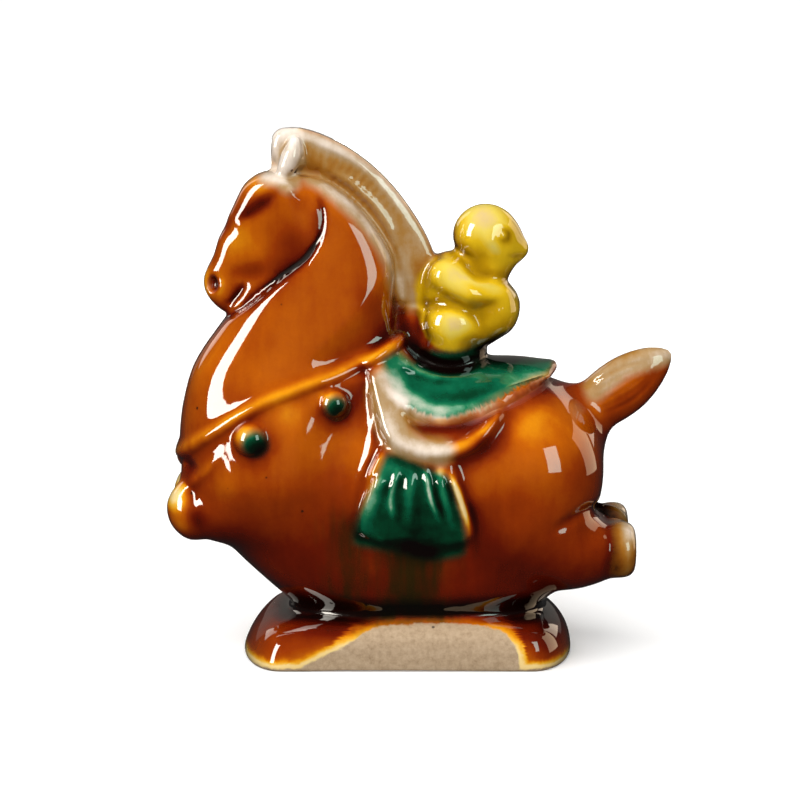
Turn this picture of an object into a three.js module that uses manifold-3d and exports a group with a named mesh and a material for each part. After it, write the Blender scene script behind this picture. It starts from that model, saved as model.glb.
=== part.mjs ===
// A small glazed ceramic ornament: a galloping horse with a squatting monkey on its saddle,
// moulded in one with its oval plinth. Millimetres, +Z up, the horse faces -X and its left
// flank faces -Y. The origin is the middle of the plinth's flat underside.
//
// The form is built the way it would be in clay: rounded masses are laid together and
// blended, thin layers are laid on the flanks inside drawn outlines, and lines are pressed
// in or raised along drawn paths. Every mass gives a distance to its surface, negative
// inside, and the sum of them is turned into one closed skin.

import * as THREE from 'three';
import { MarchingCubes } from 'three/addons/objects/MarchingCubes.js';
import { mergeVertices } from 'three/addons/utils/BufferGeometryUtils.js';
import Module from 'manifold-3d';

// Whole piece
const HEIGHT = 110;
const SKIN_CELL = 0.72;
const SKIN_CLEAR = 0.02;
const SKIN_MARGIN = 3;
const TRIANGLE_GOAL = 9600;

// How softly neighbouring masses run into each other
const TRUNK_BLEND = 6;
const LEG_BLEND = 3.5;
const HEAD_BLEND = 3;
const PLINTH_BLEND = 2.2;
const TAIL_BLEND = 1.6;
const SMALL_BLEND = 1;

// Plinth
const PLINTH_MIDDLE = 0.2;
const PLINTH_HALF_LENGTH = 35;
const PLINTH_HALF_DEPTH = 20.3;
const PLINTH_END = 9;
const PLINTH_TOP = 10;
const PLINTH_TOP_AT_FRONT = 7.4;
const PLINTH_TOP_AT_BACK = 8.5;
const PLINTH_SHOULDER_SIDE = 6;
const PLINTH_SHOULDER_FRONT = 12;
const PLINTH_SHOULDER_BACK = 8;
const PLINTH_FOOT = 0.5;

// Hooves, mane and tail
const HIND_HOOF_END = 47.9;
const MANE_HALF_TOP = 2.3;
const MANE_HALF_ROOT = 3.6;
const MANE_TAPER = 8;
const TAIL_FLATNESS = 0.62;

// Thickness of what lies on the flanks
const SKIRT_THICK = 0.9;
const PLEAT_HEIGHT = 0.8;
const PLEAT_HALF = 1.9;
const CRESCENT_THICK = 2;
const BLANKET_THICK = 1.5;
const BLANKET_THICK_REAR = 3.1;
const STRAP_HEIGHT = 1;
const STRAP_HALF = 2;
const STRAP_EDGE_DEPTH = 0.4;
const FOLD_HEIGHT = 0.9;
const FOLD_HALF = 2.2;

// Depth and half width of the lines pressed into the clay
const CHEEK_GROOVE = [1.3, 1.7];
const EYE_HOLLOW = [0.9, 2.2];
const EYE_LID = [0.4, 1];
const MOUTH_SLOT = [0.7, 1];
const JAW_HOLLOW = [0.6, 2.4];
const MANE_LINE = [0.5, 1.3];
const HOCK_CREASE = [0.9, 2];

// Shared helpers for distances

const mix = (a, b, t) => a + (b - a) * t;
const clamp01 = (t) => Math.min(1, Math.max(0, t));

// Union of two masses with a fillet of about k.
function join(a, b, k) {
  const h = Math.max(k - Math.abs(a - b), 0) / k;
  return Math.min(a, b) - h * h * k * 0.25;
}

// What two masses share, with the edge softened by k.
function common(a, b, k) {
  return -join(-a, -b, k);
}

// An ellipsoid; turn leans it in the side view, positive from +X toward +Z.
function ball(centre, radii, turn = 0) {
  const [cx, cy, cz] = centre;
  const [rx, ry, rz] = radii;
  const c = Math.cos(turn);
  const s = Math.sin(turn);
  return (x, y, z) => {
    const dx = x - cx;
    const dz = z - cz;
    const u = (dx * c + dz * s) / rx;
    const v = (y - cy) / ry;
    const w = (dz * c - dx * s) / rz;
    const near = Math.sqrt(u * u + v * v + w * w);
    const slope = Math.sqrt((u * u) / (rx * rx) + (v * v) / (ry * ry) + (w * w) / (rz * rz));
    return slope < 1e-9 ? -Math.min(rx, ry, rz) : (near * (near - 1)) / slope;
  };
}

// A round limb along a smooth curve. Each stop is [x, y, z, radius]; flat squeezes it across.
function limb(stops, flat = 1) {
  const centres = stops.map(([x, y, z]) => new THREE.Vector3(x, y / flat, z));
  const sizes = stops.map(([, , , r], i) => new THREE.Vector3(i, r, 0));
  const steps = (stops.length - 1) * 4;
  const line = new THREE.CatmullRomCurve3(centres, false, 'centripetal').getPoints(steps);
  const size = new THREE.CatmullRomCurve3(sizes).getPoints(steps).map((p) => p.y);
  return (x, y, z) => {
    const yy = y / flat;
    let best = Infinity;
    for (let i = 0; i < steps; i += 1) {
      const a = line[i];
      const b = line[i + 1];
      const bx = b.x - a.x;
      const by = b.y - a.y;
      const bz = b.z - a.z;
      const ax = x - a.x;
      const ay = yy - a.y;
      const az = z - a.z;
      const t = clamp01((ax * bx + ay * by + az * bz) / (bx * bx + by * by + bz * bz));
      const dx = ax - bx * t;
      const dy = ay - by * t;
      const dz = az - bz * t;
      const d = Math.sqrt(dx * dx + dy * dy + dz * dz) - mix(size[i], size[i + 1], t);
      if (d < best) best = d;
    }
    return best * Math.min(1, flat);
  };
}

// Distance in the side view to a smooth line through [x, z] points.
function path(points) {
  const knots = points.map(([x, z]) => new THREE.Vector2(x, z));
  const line = new THREE.SplineCurve(knots).getPoints((knots.length - 1) * 4);
  return (x, z) => {
    let best = Infinity;
    for (let i = 0; i + 1 < line.length; i += 1) {
      const a = line[i];
      const b = line[i + 1];
      const bx = b.x - a.x;
      const bz = b.y - a.y;
      const t = clamp01(((x - a.x) * bx + (z - a.y) * bz) / (bx * bx + bz * bz));
      const d = Math.hypot(x - a.x - bx * t, z - a.y - bz * t);
      if (d < best) best = d;
    }
    return best;
  };
}

// Signed distance in the side view to a closed smooth outline, negative inside.
function outline(points) {
  const shape = new THREE.Shape();
  const knots = points.map(([x, z]) => new THREE.Vector2(x, z));
  shape.moveTo(knots[0].x, knots[0].y);
  shape.splineThru([...knots.slice(1), knots[0]]);
  const ring = shape.getPoints(4);
  return (x, z) => {
    let best = Infinity;
    let inside = false;
    for (let i = 0; i + 1 < ring.length; i += 1) {
      const a = ring[i];
      const b = ring[i + 1];
      const bx = b.x - a.x;
      const bz = b.y - a.y;
      const t = clamp01(((x - a.x) * bx + (z - a.y) * bz) / (bx * bx + bz * bz + 1e-12));
      const d = Math.hypot(x - a.x - bx * t, z - a.y - bz * t);
      if (d < best) best = d;
      if (a.y > z !== b.y > z && x < a.x + (bx * (z - a.y)) / bz) inside = !inside;
    }
    return inside ? -best : best;
  };
}

// Height of a rounded ridge or groove at a distance from its middle line.
const swell = (distance, halfWidth) => {
  const t = distance / halfWidth;
  return t >= 1 ? 0 : (1 - t * t) * (1 - t * t);
};

// A line drawn in the side view and pressed in to a depth over a half width.
const pressed = (line, [depth, halfWidth]) => (x, z) => depth * swell(line(x, z), halfWidth);

// A stack of ovals one over the other: stops are [z, middle x, half length, half depth].
function ovals(stops, square = 2) {
  const spline = (pick) => new THREE.CatmullRomCurve3(
    stops.map((stop) => new THREE.Vector3(stop[0], stop[pick], 0)), false, 'centripetal');
  const count = 60;
  const rows = [1, 2, 3].map((pick) => spline(pick).getPoints(count));
  const low = stops[0][0];
  const high = stops[stops.length - 1][0];
  const at = (row, z) => {
    let i = 0;
    while (i < count - 1 && row[i + 1].x < z) i += 1;
    const a = row[i];
    const b = row[i + 1];
    return mix(a.y, b.y, clamp01((z - a.x) / (b.x - a.x)));
  };
  return (x, y, z) => {
    const level = Math.min(high, Math.max(low, z));
    const [cx, rx, ry] = rows.map((row) => at(row, level));
    const u = Math.abs(x - cx) / rx;
    const v = Math.abs(y) / ry;
    const near = (u ** square + v ** square) ** (1 / square);
    const slope = Math.hypot(u / rx, v / ry) / Math.max(near, 1e-6);
    const side = near < 1e-6 ? -Math.min(rx, ry) : (near - 1) / Math.max(slope, 1 / rx);
    return Math.max(side * 0.85, z - high, low - z);
  };
}

// The plinth: a slab with long straight fronts, oval ends and a soft upper shoulder
function plinth(x, y, z) {
  const straight = PLINTH_HALF_LENGTH - PLINTH_END;
  const along = x - PLINTH_MIDDLE;
  const u = Math.max(Math.abs(along) - straight, 0) / PLINTH_END;
  const v = y / PLINTH_HALF_DEPTH;
  const near = Math.hypot(u, v);
  const slope = Math.hypot(u / PLINTH_END, v / PLINTH_HALF_DEPTH);
  const side = near < 1e-6 ? -PLINTH_END : (near * (near - 1)) / Math.max(slope, 1e-6);
  const end = clamp01((Math.abs(along) - straight + PLINTH_END) / (2 * PLINTH_END));
  const front = along < 0;
  const shoulder = mix(
    PLINTH_SHOULDER_SIDE, front ? PLINTH_SHOULDER_FRONT : PLINTH_SHOULDER_BACK, end);
  const top = mix(PLINTH_TOP, front ? PLINTH_TOP_AT_FRONT : PLINTH_TOP_AT_BACK, end);
  const upper = common(side, z - top, shoulder);
  return common(upper, -PLINTH_FOOT - z, PLINTH_FOOT * 3);
}

// Trunk, neck and legs
const trunk = [
  ovals([
    [6, 2.7, 26, 15], [10.5, 2.5, 26.6, 16], [15.5, 2.8, 32, 18],
    [23, 1.2, 37, 19], [32, 0.2, 38.2, 19.2], [40, 0.2, 35.6, 18.2],
  ], 2.5),
  ball([-22.5, 0, 41.5], [22, 19, 21.5]),
  ball([3, 0, 39], [34, 19.4, 19.5]),
  ball([15, 0, 44.1], [26.7, 16.4, 17]),
];
const haunch = ball([25.2, 7.6, 38.6], [15.8, 13.6, 16.8]);
const neck = ovals([
  [42, -21, 25.6, 17], [50, -21, 25.6, 16.8], [55, -21.3, 24.6, 16.2], [61, -21.6, 22.5, 15],
  [66, -20.1, 20.9, 13.9], [71, -18.4, 18.9, 12.8], [76, -17.2, 17, 11.7], [83, -16.6, 14.8, 10.3],
  [91, -17.4, 11, 8.6], [97, -19.6, 7.4, 6.6], [100.5, -21.4, 4, 4],
]);
const foreleg = limb([[-30, 8, 34.6, 10], [-38, 8.6, 32, 7.1], [-44, 9, 31.8, 5.2]]);
const foreHoof = ball([-44.3, 9, 31.4], [4.8, 5.3, 6.2], 0.25);
const hindLeg = limb([[25, 9.5, 29, 11], [34, 9.6, 23.5, 8.5], [42, 9.4, 23.2, 5.6]]);
const hindDrum = limb([[44.6, 9.3, 23.3, 5.9], [52, 9.3, 23.3, 5.9]]);
const hindHoof = (x, y, z) => common(hindDrum(x, y, z), x - HIND_HOOF_END, 3);
const hockCrease = pressed(path([[40, 34.6], [36, 32.2], [30, 28.6]]), HOCK_CREASE);
const tail = limb([
  [36.4, 0, 49.4, 4.2], [41, 0, 52.8, 5.7], [46.3, 0, 56.7, 6], [51.4, 0, 60.6, 3.9],
  [55.2, 0, 63.2, 0.8],
], TAIL_FLATNESS);

function trunkAndNeck(x, y, z) {
  let f = neck(x, y, z);
  for (const mass of trunk) f = join(f, mass(x, y, z), TRUNK_BLEND);
  return join(f, haunch(x, y, z), LEG_BLEND);
}

function withLegs(body, x, y, z) {
  let f = join(body, foreleg(x, y, z), LEG_BLEND);
  f = join(f, foreHoof(x, y, z), SMALL_BLEND);
  f = join(f, hindLeg(x, y, z), LEG_BLEND);
  f = join(f, hindHoof(x, y, z), SMALL_BLEND);
  f = join(f, tail(x, y, z), TAIL_BLEND);
  return f + hockCrease(x, z);
}

// Head: jowl, skull, nose, muzzle and jaw, with the lines of the face pressed in
const headMasses = [
  ball([-25, 2.2, 90.6], [8.2, 7.6, 8.6]),
  ball([-26.6, 0, 95.3], [6.2, 6.8, 6]),
  limb([[-29, 0, 94.2, 5.6], [-33.4, 0, 87.4, 4.9], [-36.6, 0, 79, 4.2]], 1.12),
  ball([-36.9, 0, 77.8], [4.5, 4.6, 4.7]),
  limb([[-27, 0, 84, 4.8], [-35.2, 0, 74.6, 2.9]], 1.2),
];
const cheekGroove = pressed(path([
  [-19.2, 98.4], [-17, 95.2], [-16.9, 91], [-18.2, 86.8], [-20.6, 83.6], [-24.8, 81],
  [-29, 77.2], [-34.2, 73],
]), CHEEK_GROOVE);
const eyeHollow = pressed(path([[-34.1, 92.2], [-30.4, 93.6], [-26.5, 97]]), EYE_HOLLOW);
const eyeLid = pressed(path([[-31.6, 92.2], [-29.1, 93.2], [-26.4, 96.4]]), EYE_LID);
const mouthSlot = pressed(path([[-33.3, 78.7], [-37.1, 73.7]]), MOUTH_SLOT);
const jawHollow = pressed(path([[-36.6, 81], [-32.6, 81.8], [-29.2, 81.6]]), JAW_HOLLOW);
const nostril = ball([-39.6, 3.4, 78.2], [1, 1.4, 1.5]);
const ear = limb([[-22.6, 3.2, 107.4, 1.2], [-23.4, 3.6, 104.2, 2.2], [-25, 3.8, 101, 1.4]]);
const forelock = limb([[-25, 0, 107.6, 2.4], [-25.3, 0, 104, 2.4], [-26.2, 0, 100.8, 1.4]]);

function head(x, y, z) {
  let f = headMasses[0](x, y, z);
  for (const mass of headMasses.slice(1)) f = join(f, mass(x, y, z), HEAD_BLEND);
  f += eyeHollow(x, z) - eyeLid(x, z) + mouthSlot(x, z) + jawHollow(x, z);
  return common(f, -nostril(x, y, z), SMALL_BLEND);
}

// Mane: a cropped crest standing on the neck, thicker at its root
const crest = outline([
  [-26.8, 104], [-27, 108], [-23.4, 110.2], [-13.4, 107], [-5.2, 101], [1, 93.6],
  [5.4, 85.7], [6.4, 81], [4, 73], [-1, 74], [-4, 83], [-10, 91.5], [-17.5, 98],
]);
const maneLine = pressed(path([
  [-20.5, 101.3], [-12.3, 97.4], [-6.2, 91], [-1.5, 83], [0.2, 74],
]), MANE_LINE);

function mane(x, y, z) {
  const flat = crest(x, z);
  const half = mix(MANE_HALF_TOP, MANE_HALF_ROOT, clamp01(-flat / MANE_TAPER));
  return common(flat, y - half, SMALL_BLEND);
}

function withHead(neckAndBody, x, y, z) {
  let f = join(neckAndBody, mane(x, y, z), SMALL_BLEND);
  f = join(f + maneLine(x, z), head(x, y, z), SMALL_BLEND) + cheekGroove(x, z);
  f = join(f, ear(x, y, z), SMALL_BLEND);
  return join(f, forelock(x, y, z), SMALL_BLEND);
}

// Monkey: it squats on a mound behind the mane, looking back toward the tail
const monkeyMasses = [
  ball([16.7, 0, 88], [6.8, 6.2, 6.5]),
  limb([[19.5, 0, 87, 4.8], [23, 0, 85.2, 2.7]]),
  limb([[18.8, 0, 84, 4.7], [15.6, 0, 78.6, 4.8]]),
  ball([10.4, 0, 76.4], [7.6, 6.8, 8.4], 0.3),
  limb([[8.4, 4.6, 79.8, 3.6], [13, 6.3, 76.4, 3], [19, 3.6, 75.6, 3]]),
  ball([18.6, 0, 73], [5.4, 6.4, 5.8]),
  limb([[18, 2.4, 71.4, 4.8], [13.6, 2.4, 67.4, 4]]),
  ball([9.9, 4.4, 69.8], [5.9, 4.6, 5.4]),
  ball([9.4, 0, 64.6], [7.8, 7.4, 5.4]),
  ball([1.4, 0, 67.5], [5, 5.6, 6]),
];

function withMonkey(body, x, y, z) {
  let f = monkeyMasses[0](x, y, z);
  for (const mass of monkeyMasses.slice(1)) f = join(f, mass(x, y, z), SMALL_BLEND);
  return join(body, f, SMALL_BLEND);
}

// Saddle blanket, rolled crescent pad, pleated skirt cloth, breast strap and bells
const blanket = outline([
  [-7.2, 63], [-5.8, 58.6], [-1, 55.1], [5.4, 53.5], [12, 54.1], [20, 56.8], [31.4, 59.9],
  [33, 61.6], [31, 68], [10, 72], [-1, 69],
]);
const crescent = outline([
  [-7, 62], [-6.9, 56], [-3.7, 47.5], [5.4, 43.8], [14.9, 46.1], [20, 53.2], [18.4, 54],
  [12, 49.4], [6, 48.7], [1.6, 51.6], [0, 57],
]);
const skirt = outline([
  [-4.6, 46.6], [9.8, 43.6], [12, 36], [13.8, 28.2], [9.4, 26.6], [4.6, 25.9], [0, 27.6],
  [-4.4, 27.2], [-9.6, 29.2], [-7.4, 38],
]);
const pleats = [
  path([[-4.2, 44], [-2.8, 38], [-2.6, 33]]),
  path([[3.6, 44], [4.6, 38], [7, 32.6]]),
  path([[9.2, 43], [10.4, 37], [12.8, 30]]),
];
const strap = path([[-0.6, 67.2], [-15.2, 60.6], [-29, 55.6], [-42.4, 47.2], [-48, 43]]);
const shoulderFold = path([[-8.6, 59], [-7.9, 49], [-11.6, 38.4]]);

// How far out the flank lies at a point of the side view.
function flank(x, z) {
  const nearEnough = 0.02;
  const caution = 0.6;
  let y = 2 * PLINTH_HALF_DEPTH;
  let gap = trunkAndNeck(x, y, z);
  while (gap > nearEnough) {
    y -= gap * caution;
    gap = trunkAndNeck(x, y, z);
  }
  return y;
}

const flankBells = [[-14.6, 55, 3.2], [-31.2, 48, 3.8]].flatMap(([x, z, r]) => {
  const [loopX, loopZ, loopR] = [x - r * 0.3, z + r * 1.15, 1.3];
  return [
    ball([x, flank(x, z) + r * 0.3, z], [r, r, r]),
    ball([loopX, flank(loopX, loopZ) + loopR * 0.25, loopZ], [loopR, loopR, loopR]),
  ];
});
const bells = [...flankBells, ball([-44.7, 0, 41.8], [3.4, 3.5, 3.4])];

function withTack(body, x, y, z) {
  const gather = pleats.reduce((sum, line) => sum + PLEAT_HEIGHT * swell(line(x, z), PLEAT_HALF), 0);
  const rearward = clamp01((x - 19) / 11);
  const blanketThick = mix(BLANKET_THICK, BLANKET_THICK_REAR, rearward);
  let f = Math.min(body, common(body - SKIRT_THICK - gather, skirt(x, z), SMALL_BLEND));
  f = Math.min(f, common(body - CRESCENT_THICK, crescent(x, z), 2.4 * SMALL_BLEND));
  f = Math.min(f, common(body - blanketThick, blanket(x, z), 1.8 * SMALL_BLEND));
  if (x < 4) {
    const across = strap(x, z);
    const edge = STRAP_EDGE_DEPTH * swell(Math.abs(across - 1.3 * STRAP_HALF), 0.6 * STRAP_HALF);
    f += edge - STRAP_HEIGHT * swell(across, STRAP_HALF);
    f -= FOLD_HEIGHT * swell(shoulderFold(x, z), FOLD_HALF);
  }
  return f;
}

// The whole figurine. The two sides are alike, and the fold between them is softened.
function clay(x, across, z) {
  const y = Math.sqrt(across * across + 0.16);
  let f = join(trunkAndNeck(x, y, z), plinth(x, y, z), PLINTH_BLEND);
  if (z > 12 && z < 70) f = withLegs(f, x, y, z);
  if (Math.abs(f) < 6 && x < 36 && z > 22 && z < 74) f = withTack(f, x, y, z);
  if (z > 34 && z < 64) for (const bell of bells) f = join(f, bell(x, y, z), SMALL_BLEND / 2);
  if (z > 64 && x < 9) f = withHead(f, x, y, z);
  if (z > 56 && x > -6) f = withMonkey(f, x, y, z);
  return f;
}

// Turn the clay into a closed skin on an even grid of cells
function skin() {
  const half = HEIGHT / 2 + SKIN_MARGIN;
  const middle = new THREE.Vector3(3.5, 0, HEIGHT / 2);
  const size = Math.ceil((2 * half) / SKIN_CELL);
  const cell = (2 * half) / size;
  const grid = new MarchingCubes(size, new THREE.MeshStandardMaterial(), false, false, 400000);
  grid.isolation = 0;
  const at = (i, c) => c + (i / (size / 2) - 1) * half;
  const block = 6;
  const reach = block * cell * 1.6;
  for (let k = 0; k < size; k += block) {
    for (let j = 0; j < size; j += block) {
      for (let i = 0; i < size; i += block) {
        const b = block / 2;
        const far = clay(at(i + b, middle.x), at(j + b, middle.y), at(k + b, middle.z));
        const skip = Math.abs(far) > reach;
        for (let c = k; c < Math.min(k + block, size); c += 1) {
          for (let d = j; d < Math.min(j + block, size); d += 1) {
            for (let e = i; e < Math.min(i + block, size); e += 1) {
              const f = skip ? far : clay(at(e, middle.x), at(d, middle.y), at(c, middle.z));
              const clear = Math.abs(f) < SKIN_CLEAR ? Math.sign(f || 1) * SKIN_CLEAR : f;
              grid.field[e + d * size + c * size * size] = -clear;
            }
          }
        }
      }
    }
  }
  grid.update();
  const drawn = grid.geometry.drawRange.count;
  const points = grid.positionArray.slice(0, drawn * 3);
  for (let i = 0; i < points.length; i += 3) {
    points[i] = middle.x + points[i] * half;
    points[i + 1] = middle.y + points[i + 1] * half;
    points[i + 2] = middle.z + points[i + 2] * half;
  }
  const geometry = new THREE.BufferGeometry();
  geometry.setAttribute('position', new THREE.BufferAttribute(points, 3));
  return mergeVertices(geometry, 0.001);
}

// A smallest-first queue of [cost, ...] entries.
class Queue {
  constructor() {
    this.items = [];
  }

  push(item) {
    const { items } = this;
    let i = items.length;
    items.push(item);
    while (i > 0) {
      const parent = (i - 1) >> 1;
      if (items[parent][0] <= item[0]) break;
      items[i] = items[parent];
      i = parent;
    }
    items[i] = item;
  }

  pop() {
    const { items } = this;
    const top = items[0];
    const last = items.pop();
    if (items.length > 0) {
      let i = 0;
      for (;;) {
        let child = 2 * i + 1;
        if (child >= items.length) break;
        if (child + 1 < items.length && items[child + 1][0] < items[child][0]) child += 1;
        if (items[child][0] >= last[0]) break;
        items[i] = items[child];
        i = child;
      }
      items[i] = last;
    }
    return top;
  }
}

// Thin a closed skin to about a goal of triangles, giving up the flattest places first.
// Each point remembers the planes it has stood for, and an edge is folded into the point
// that lies nearest to the planes of both its ends.
function thin(geometry, goal) {
  const points = Float64Array.from(geometry.attributes.position.array);
  const corners = Uint32Array.from(geometry.index.array);
  const pointCount = points.length / 3;
  const faceCount = corners.length / 3;
  const planes = new Float64Array(pointCount * 10);
  const around = Array.from({ length: pointCount }, () => new Set());
  const stamp = new Uint32Array(pointCount);
  const alive = new Uint8Array(faceCount).fill(1);

  const normalOf = (a, b, c, moved, mx, my, mz) => {
    const px = (i) => (i === moved ? mx : points[3 * i]);
    const py = (i) => (i === moved ? my : points[3 * i + 1]);
    const pz = (i) => (i === moved ? mz : points[3 * i + 2]);
    const ux = px(b) - px(a);
    const uy = py(b) - py(a);
    const uz = pz(b) - pz(a);
    const vx = px(c) - px(a);
    const vy = py(c) - py(a);
    const vz = pz(c) - pz(a);
    return [uy * vz - uz * vy, uz * vx - ux * vz, ux * vy - uy * vx];
  };

  for (let f = 0; f < faceCount; f += 1) {
    const [a, b, c] = [corners[3 * f], corners[3 * f + 1], corners[3 * f + 2]];
    const n = normalOf(a, b, c, -1);
    const size = Math.hypot(...n);
    if (size > 1e-12) {
      const [nx, ny, nz] = n.map((value) => value / size);
      const d = -(nx * points[3 * a] + ny * points[3 * a + 1] + nz * points[3 * a + 2]);
      const plane = [nx * nx, nx * ny, nx * nz, nx * d, ny * ny, ny * nz, ny * d, nz * nz, nz * d, d * d];
      for (const p of [a, b, c]) {
        for (let i = 0; i < 10; i += 1) planes[10 * p + i] += plane[i] * size;
      }
    }
    around[a].add(f);
    around[b].add(f);
    around[c].add(f);
  }

  const q = new Float64Array(10);
  const fold = (u, v) => {
    for (let i = 0; i < 10; i += 1) q[i] = planes[10 * u + i] + planes[10 * v + i];
    const [a, b, c, d, e, g, h, k, l, m] = q;
    const det = a * (e * k - g * g) - b * (b * k - g * c) + c * (b * g - e * c);
    const middle = [0, 1, 2].map((i) => (points[3 * u + i] + points[3 * v + i]) / 2);
    const ex = points[3 * u] - points[3 * v];
    const ey = points[3 * u + 1] - points[3 * v + 1];
    const ez = points[3 * u + 2] - points[3 * v + 2];
    const span = ex * ex + ey * ey + ez * ez;
    let place = middle;
    const scale = a + e + k;
    if (Math.abs(det) > 1e-4 * scale * scale * scale) {
      const x = -(d * (e * k - g * g) - b * (h * k - g * l) + c * (h * g - e * l)) / det;
      const y = -(a * (h * k - l * g) - d * (b * k - g * c) + c * (b * l - h * c)) / det;
      const z = -(a * (e * l - h * g) - b * (b * l - h * c) + d * (b * g - e * c)) / det;
      const away = (x - middle[0]) ** 2 + (y - middle[1]) ** 2 + (z - middle[2]) ** 2;
      if (away < span) place = [x, y, z];
    }
    const [x, y, z] = place;
    const miss = a * x * x + 2 * b * x * y + 2 * c * x * z + 2 * d * x + e * y * y
      + 2 * g * y * z + 2 * h * y + k * z * z + 2 * l * z + m;
    return [Math.max(miss, 0) + 1e-5 * span, u, v, stamp[u], stamp[v], place];
  };

  const ringOf = (p) => {
    const ring = new Set();
    for (const f of around[p]) {
      for (let i = 0; i < 3; i += 1) {
        const other = corners[3 * f + i];
        if (other !== p) ring.add(other);
      }
    }
    return ring;
  };

  const queue = new Queue();
  for (let p = 0; p < pointCount; p += 1) {
    for (const other of ringOf(p)) if (p < other) queue.push(fold(p, other));
  }

  const turnsOver = (p, gone, place) => {
    for (const f of around[p]) {
      const [a, b, c] = [corners[3 * f], corners[3 * f + 1], corners[3 * f + 2]];
      if (a === gone || b === gone || c === gone) continue;
      const before = normalOf(a, b, c, -1);
      const after = normalOf(a, b, c, p, ...place);
      const dot = before[0] * after[0] + before[1] * after[1] + before[2] * after[2];
      const size = Math.hypot(...before) * Math.hypot(...after);
      if (dot < 0.35 * size || Math.hypot(...after) < 0.01) return true;
    }
    return false;
  };

  let left = faceCount;
  while (left > goal && queue.items.length > 0) {
    const [, u, v, su, sv, place] = queue.pop();
    if (stamp[u] !== su || stamp[v] !== sv || around[u].size === 0 || around[v].size === 0) continue;
    const ring = ringOf(v);
    let shared = 0;
    for (const p of ringOf(u)) if (ring.has(p)) shared += 1;
    if (shared !== 2 || turnsOver(u, v, place) || turnsOver(v, u, place)) continue;
    for (const f of [...around[v]]) {
      const base = 3 * f;
      const hasU = corners[base] === u || corners[base + 1] === u || corners[base + 2] === u;
      if (hasU) {
        alive[f] = 0;
        left -= 1;
        for (let i = 0; i < 3; i += 1) around[corners[base + i]].delete(f);
      } else {
        for (let i = 0; i < 3; i += 1) if (corners[base + i] === v) corners[base + i] = u;
        around[u].add(f);
      }
    }
    around[v].clear();
    for (let i = 0; i < 10; i += 1) planes[10 * u + i] += planes[10 * v + i];
    for (let i = 0; i < 3; i += 1) points[3 * u + i] = place[i];
    stamp[u] += 1;
    stamp[v] += 1;
    for (const p of ringOf(u)) queue.push(fold(u, p));
  }

  const kept = [];
  for (let f = 0; f < faceCount; f += 1) {
    if (alive[f]) kept.push(corners[3 * f], corners[3 * f + 1], corners[3 * f + 2]);
  }
  const number = new Map();
  const places = [];
  const triangles = kept.map((p) => {
    if (!number.has(p)) {
      number.set(p, number.size);
      places.push(points[3 * p], points[3 * p + 1], points[3 * p + 2]);
    }
    return number.get(p);
  });
  const result = new THREE.BufferGeometry();
  result.setAttribute('position', new THREE.Float32BufferAttribute(places, 3));
  result.setIndex(triangles);
  return result;
}

// Volume inside a closed skin, negative when its faces look inward.
function volumeOf(geometry) {
  const p = geometry.attributes.position;
  const { array } = geometry.index;
  const [a, b, c] = [new THREE.Vector3(), new THREE.Vector3(), new THREE.Vector3()];
  let sum = 0;
  for (let i = 0; i < array.length; i += 3) {
    a.fromBufferAttribute(p, array[i]);
    b.fromBufferAttribute(p, array[i + 1]);
    c.fromBufferAttribute(p, array[i + 2]);
    sum += a.dot(b.cross(c)) / 6;
  }
  return sum;
}

function faceOutward(geometry) {
  if (volumeOf(geometry) < 0) {
    const { array } = geometry.index;
    for (let i = 0; i < array.length; i += 3) {
      [array[i + 1], array[i + 2]] = [array[i + 2], array[i + 1]];
    }
  }
  return geometry;
}

const wasm = await Module();
wasm.setup();

function toSolid(geometry) {
  return new wasm.Manifold(new wasm.Mesh({
    numProp: 3,
    vertProperties: Float32Array.from(geometry.attributes.position.array),
    triVerts: Uint32Array.from(geometry.index.array),
  }));
}

// The underside is ground flat: everything below z = 0 is cut away.
function grindFlat(geometry) {
  const depth = 10;
  const block = new THREE.BoxGeometry(4 * PLINTH_HALF_LENGTH, 4 * PLINTH_HALF_DEPTH, depth);
  block.deleteAttribute('normal');
  block.deleteAttribute('uv');
  block.translate(0, 0, -depth / 2);
  const cut = toSolid(geometry).subtract(toSolid(mergeVertices(block, 0.001))).getMesh();
  const result = new THREE.BufferGeometry();
  result.setAttribute('position', new THREE.BufferAttribute(cut.vertProperties, 3));
  result.setIndex(new THREE.BufferAttribute(cut.triVerts, 1));
  return result;
}

const figurine = new THREE.Mesh(
  grindFlat(faceOutward(thin(skin(), TRIANGLE_GOAL))),
  new THREE.MeshStandardMaterial({ color: 0xb8651a, roughness: 0.25 }),
);
figurine.name = 'horse_figurine';

const group = new THREE.Group();
group.name = 'ceramic_horse_figurine';
group.add(figurine);

export default group;
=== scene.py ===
# %% [markdown]
# # A glazed ceramic horse
# The figurine is a small moulded ornament: a galloping horse with a monkey squatting on its
# saddle, in one casting with its rounded plinth, under running amber, green and cream
# glazes.
# This lesson loads the plain solid, gives it the fine relief of the real casting, and then
# glazes it. The solid stays the measure of everything, so its box is written down first.

# %% Load the plain figurine
import math

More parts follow.
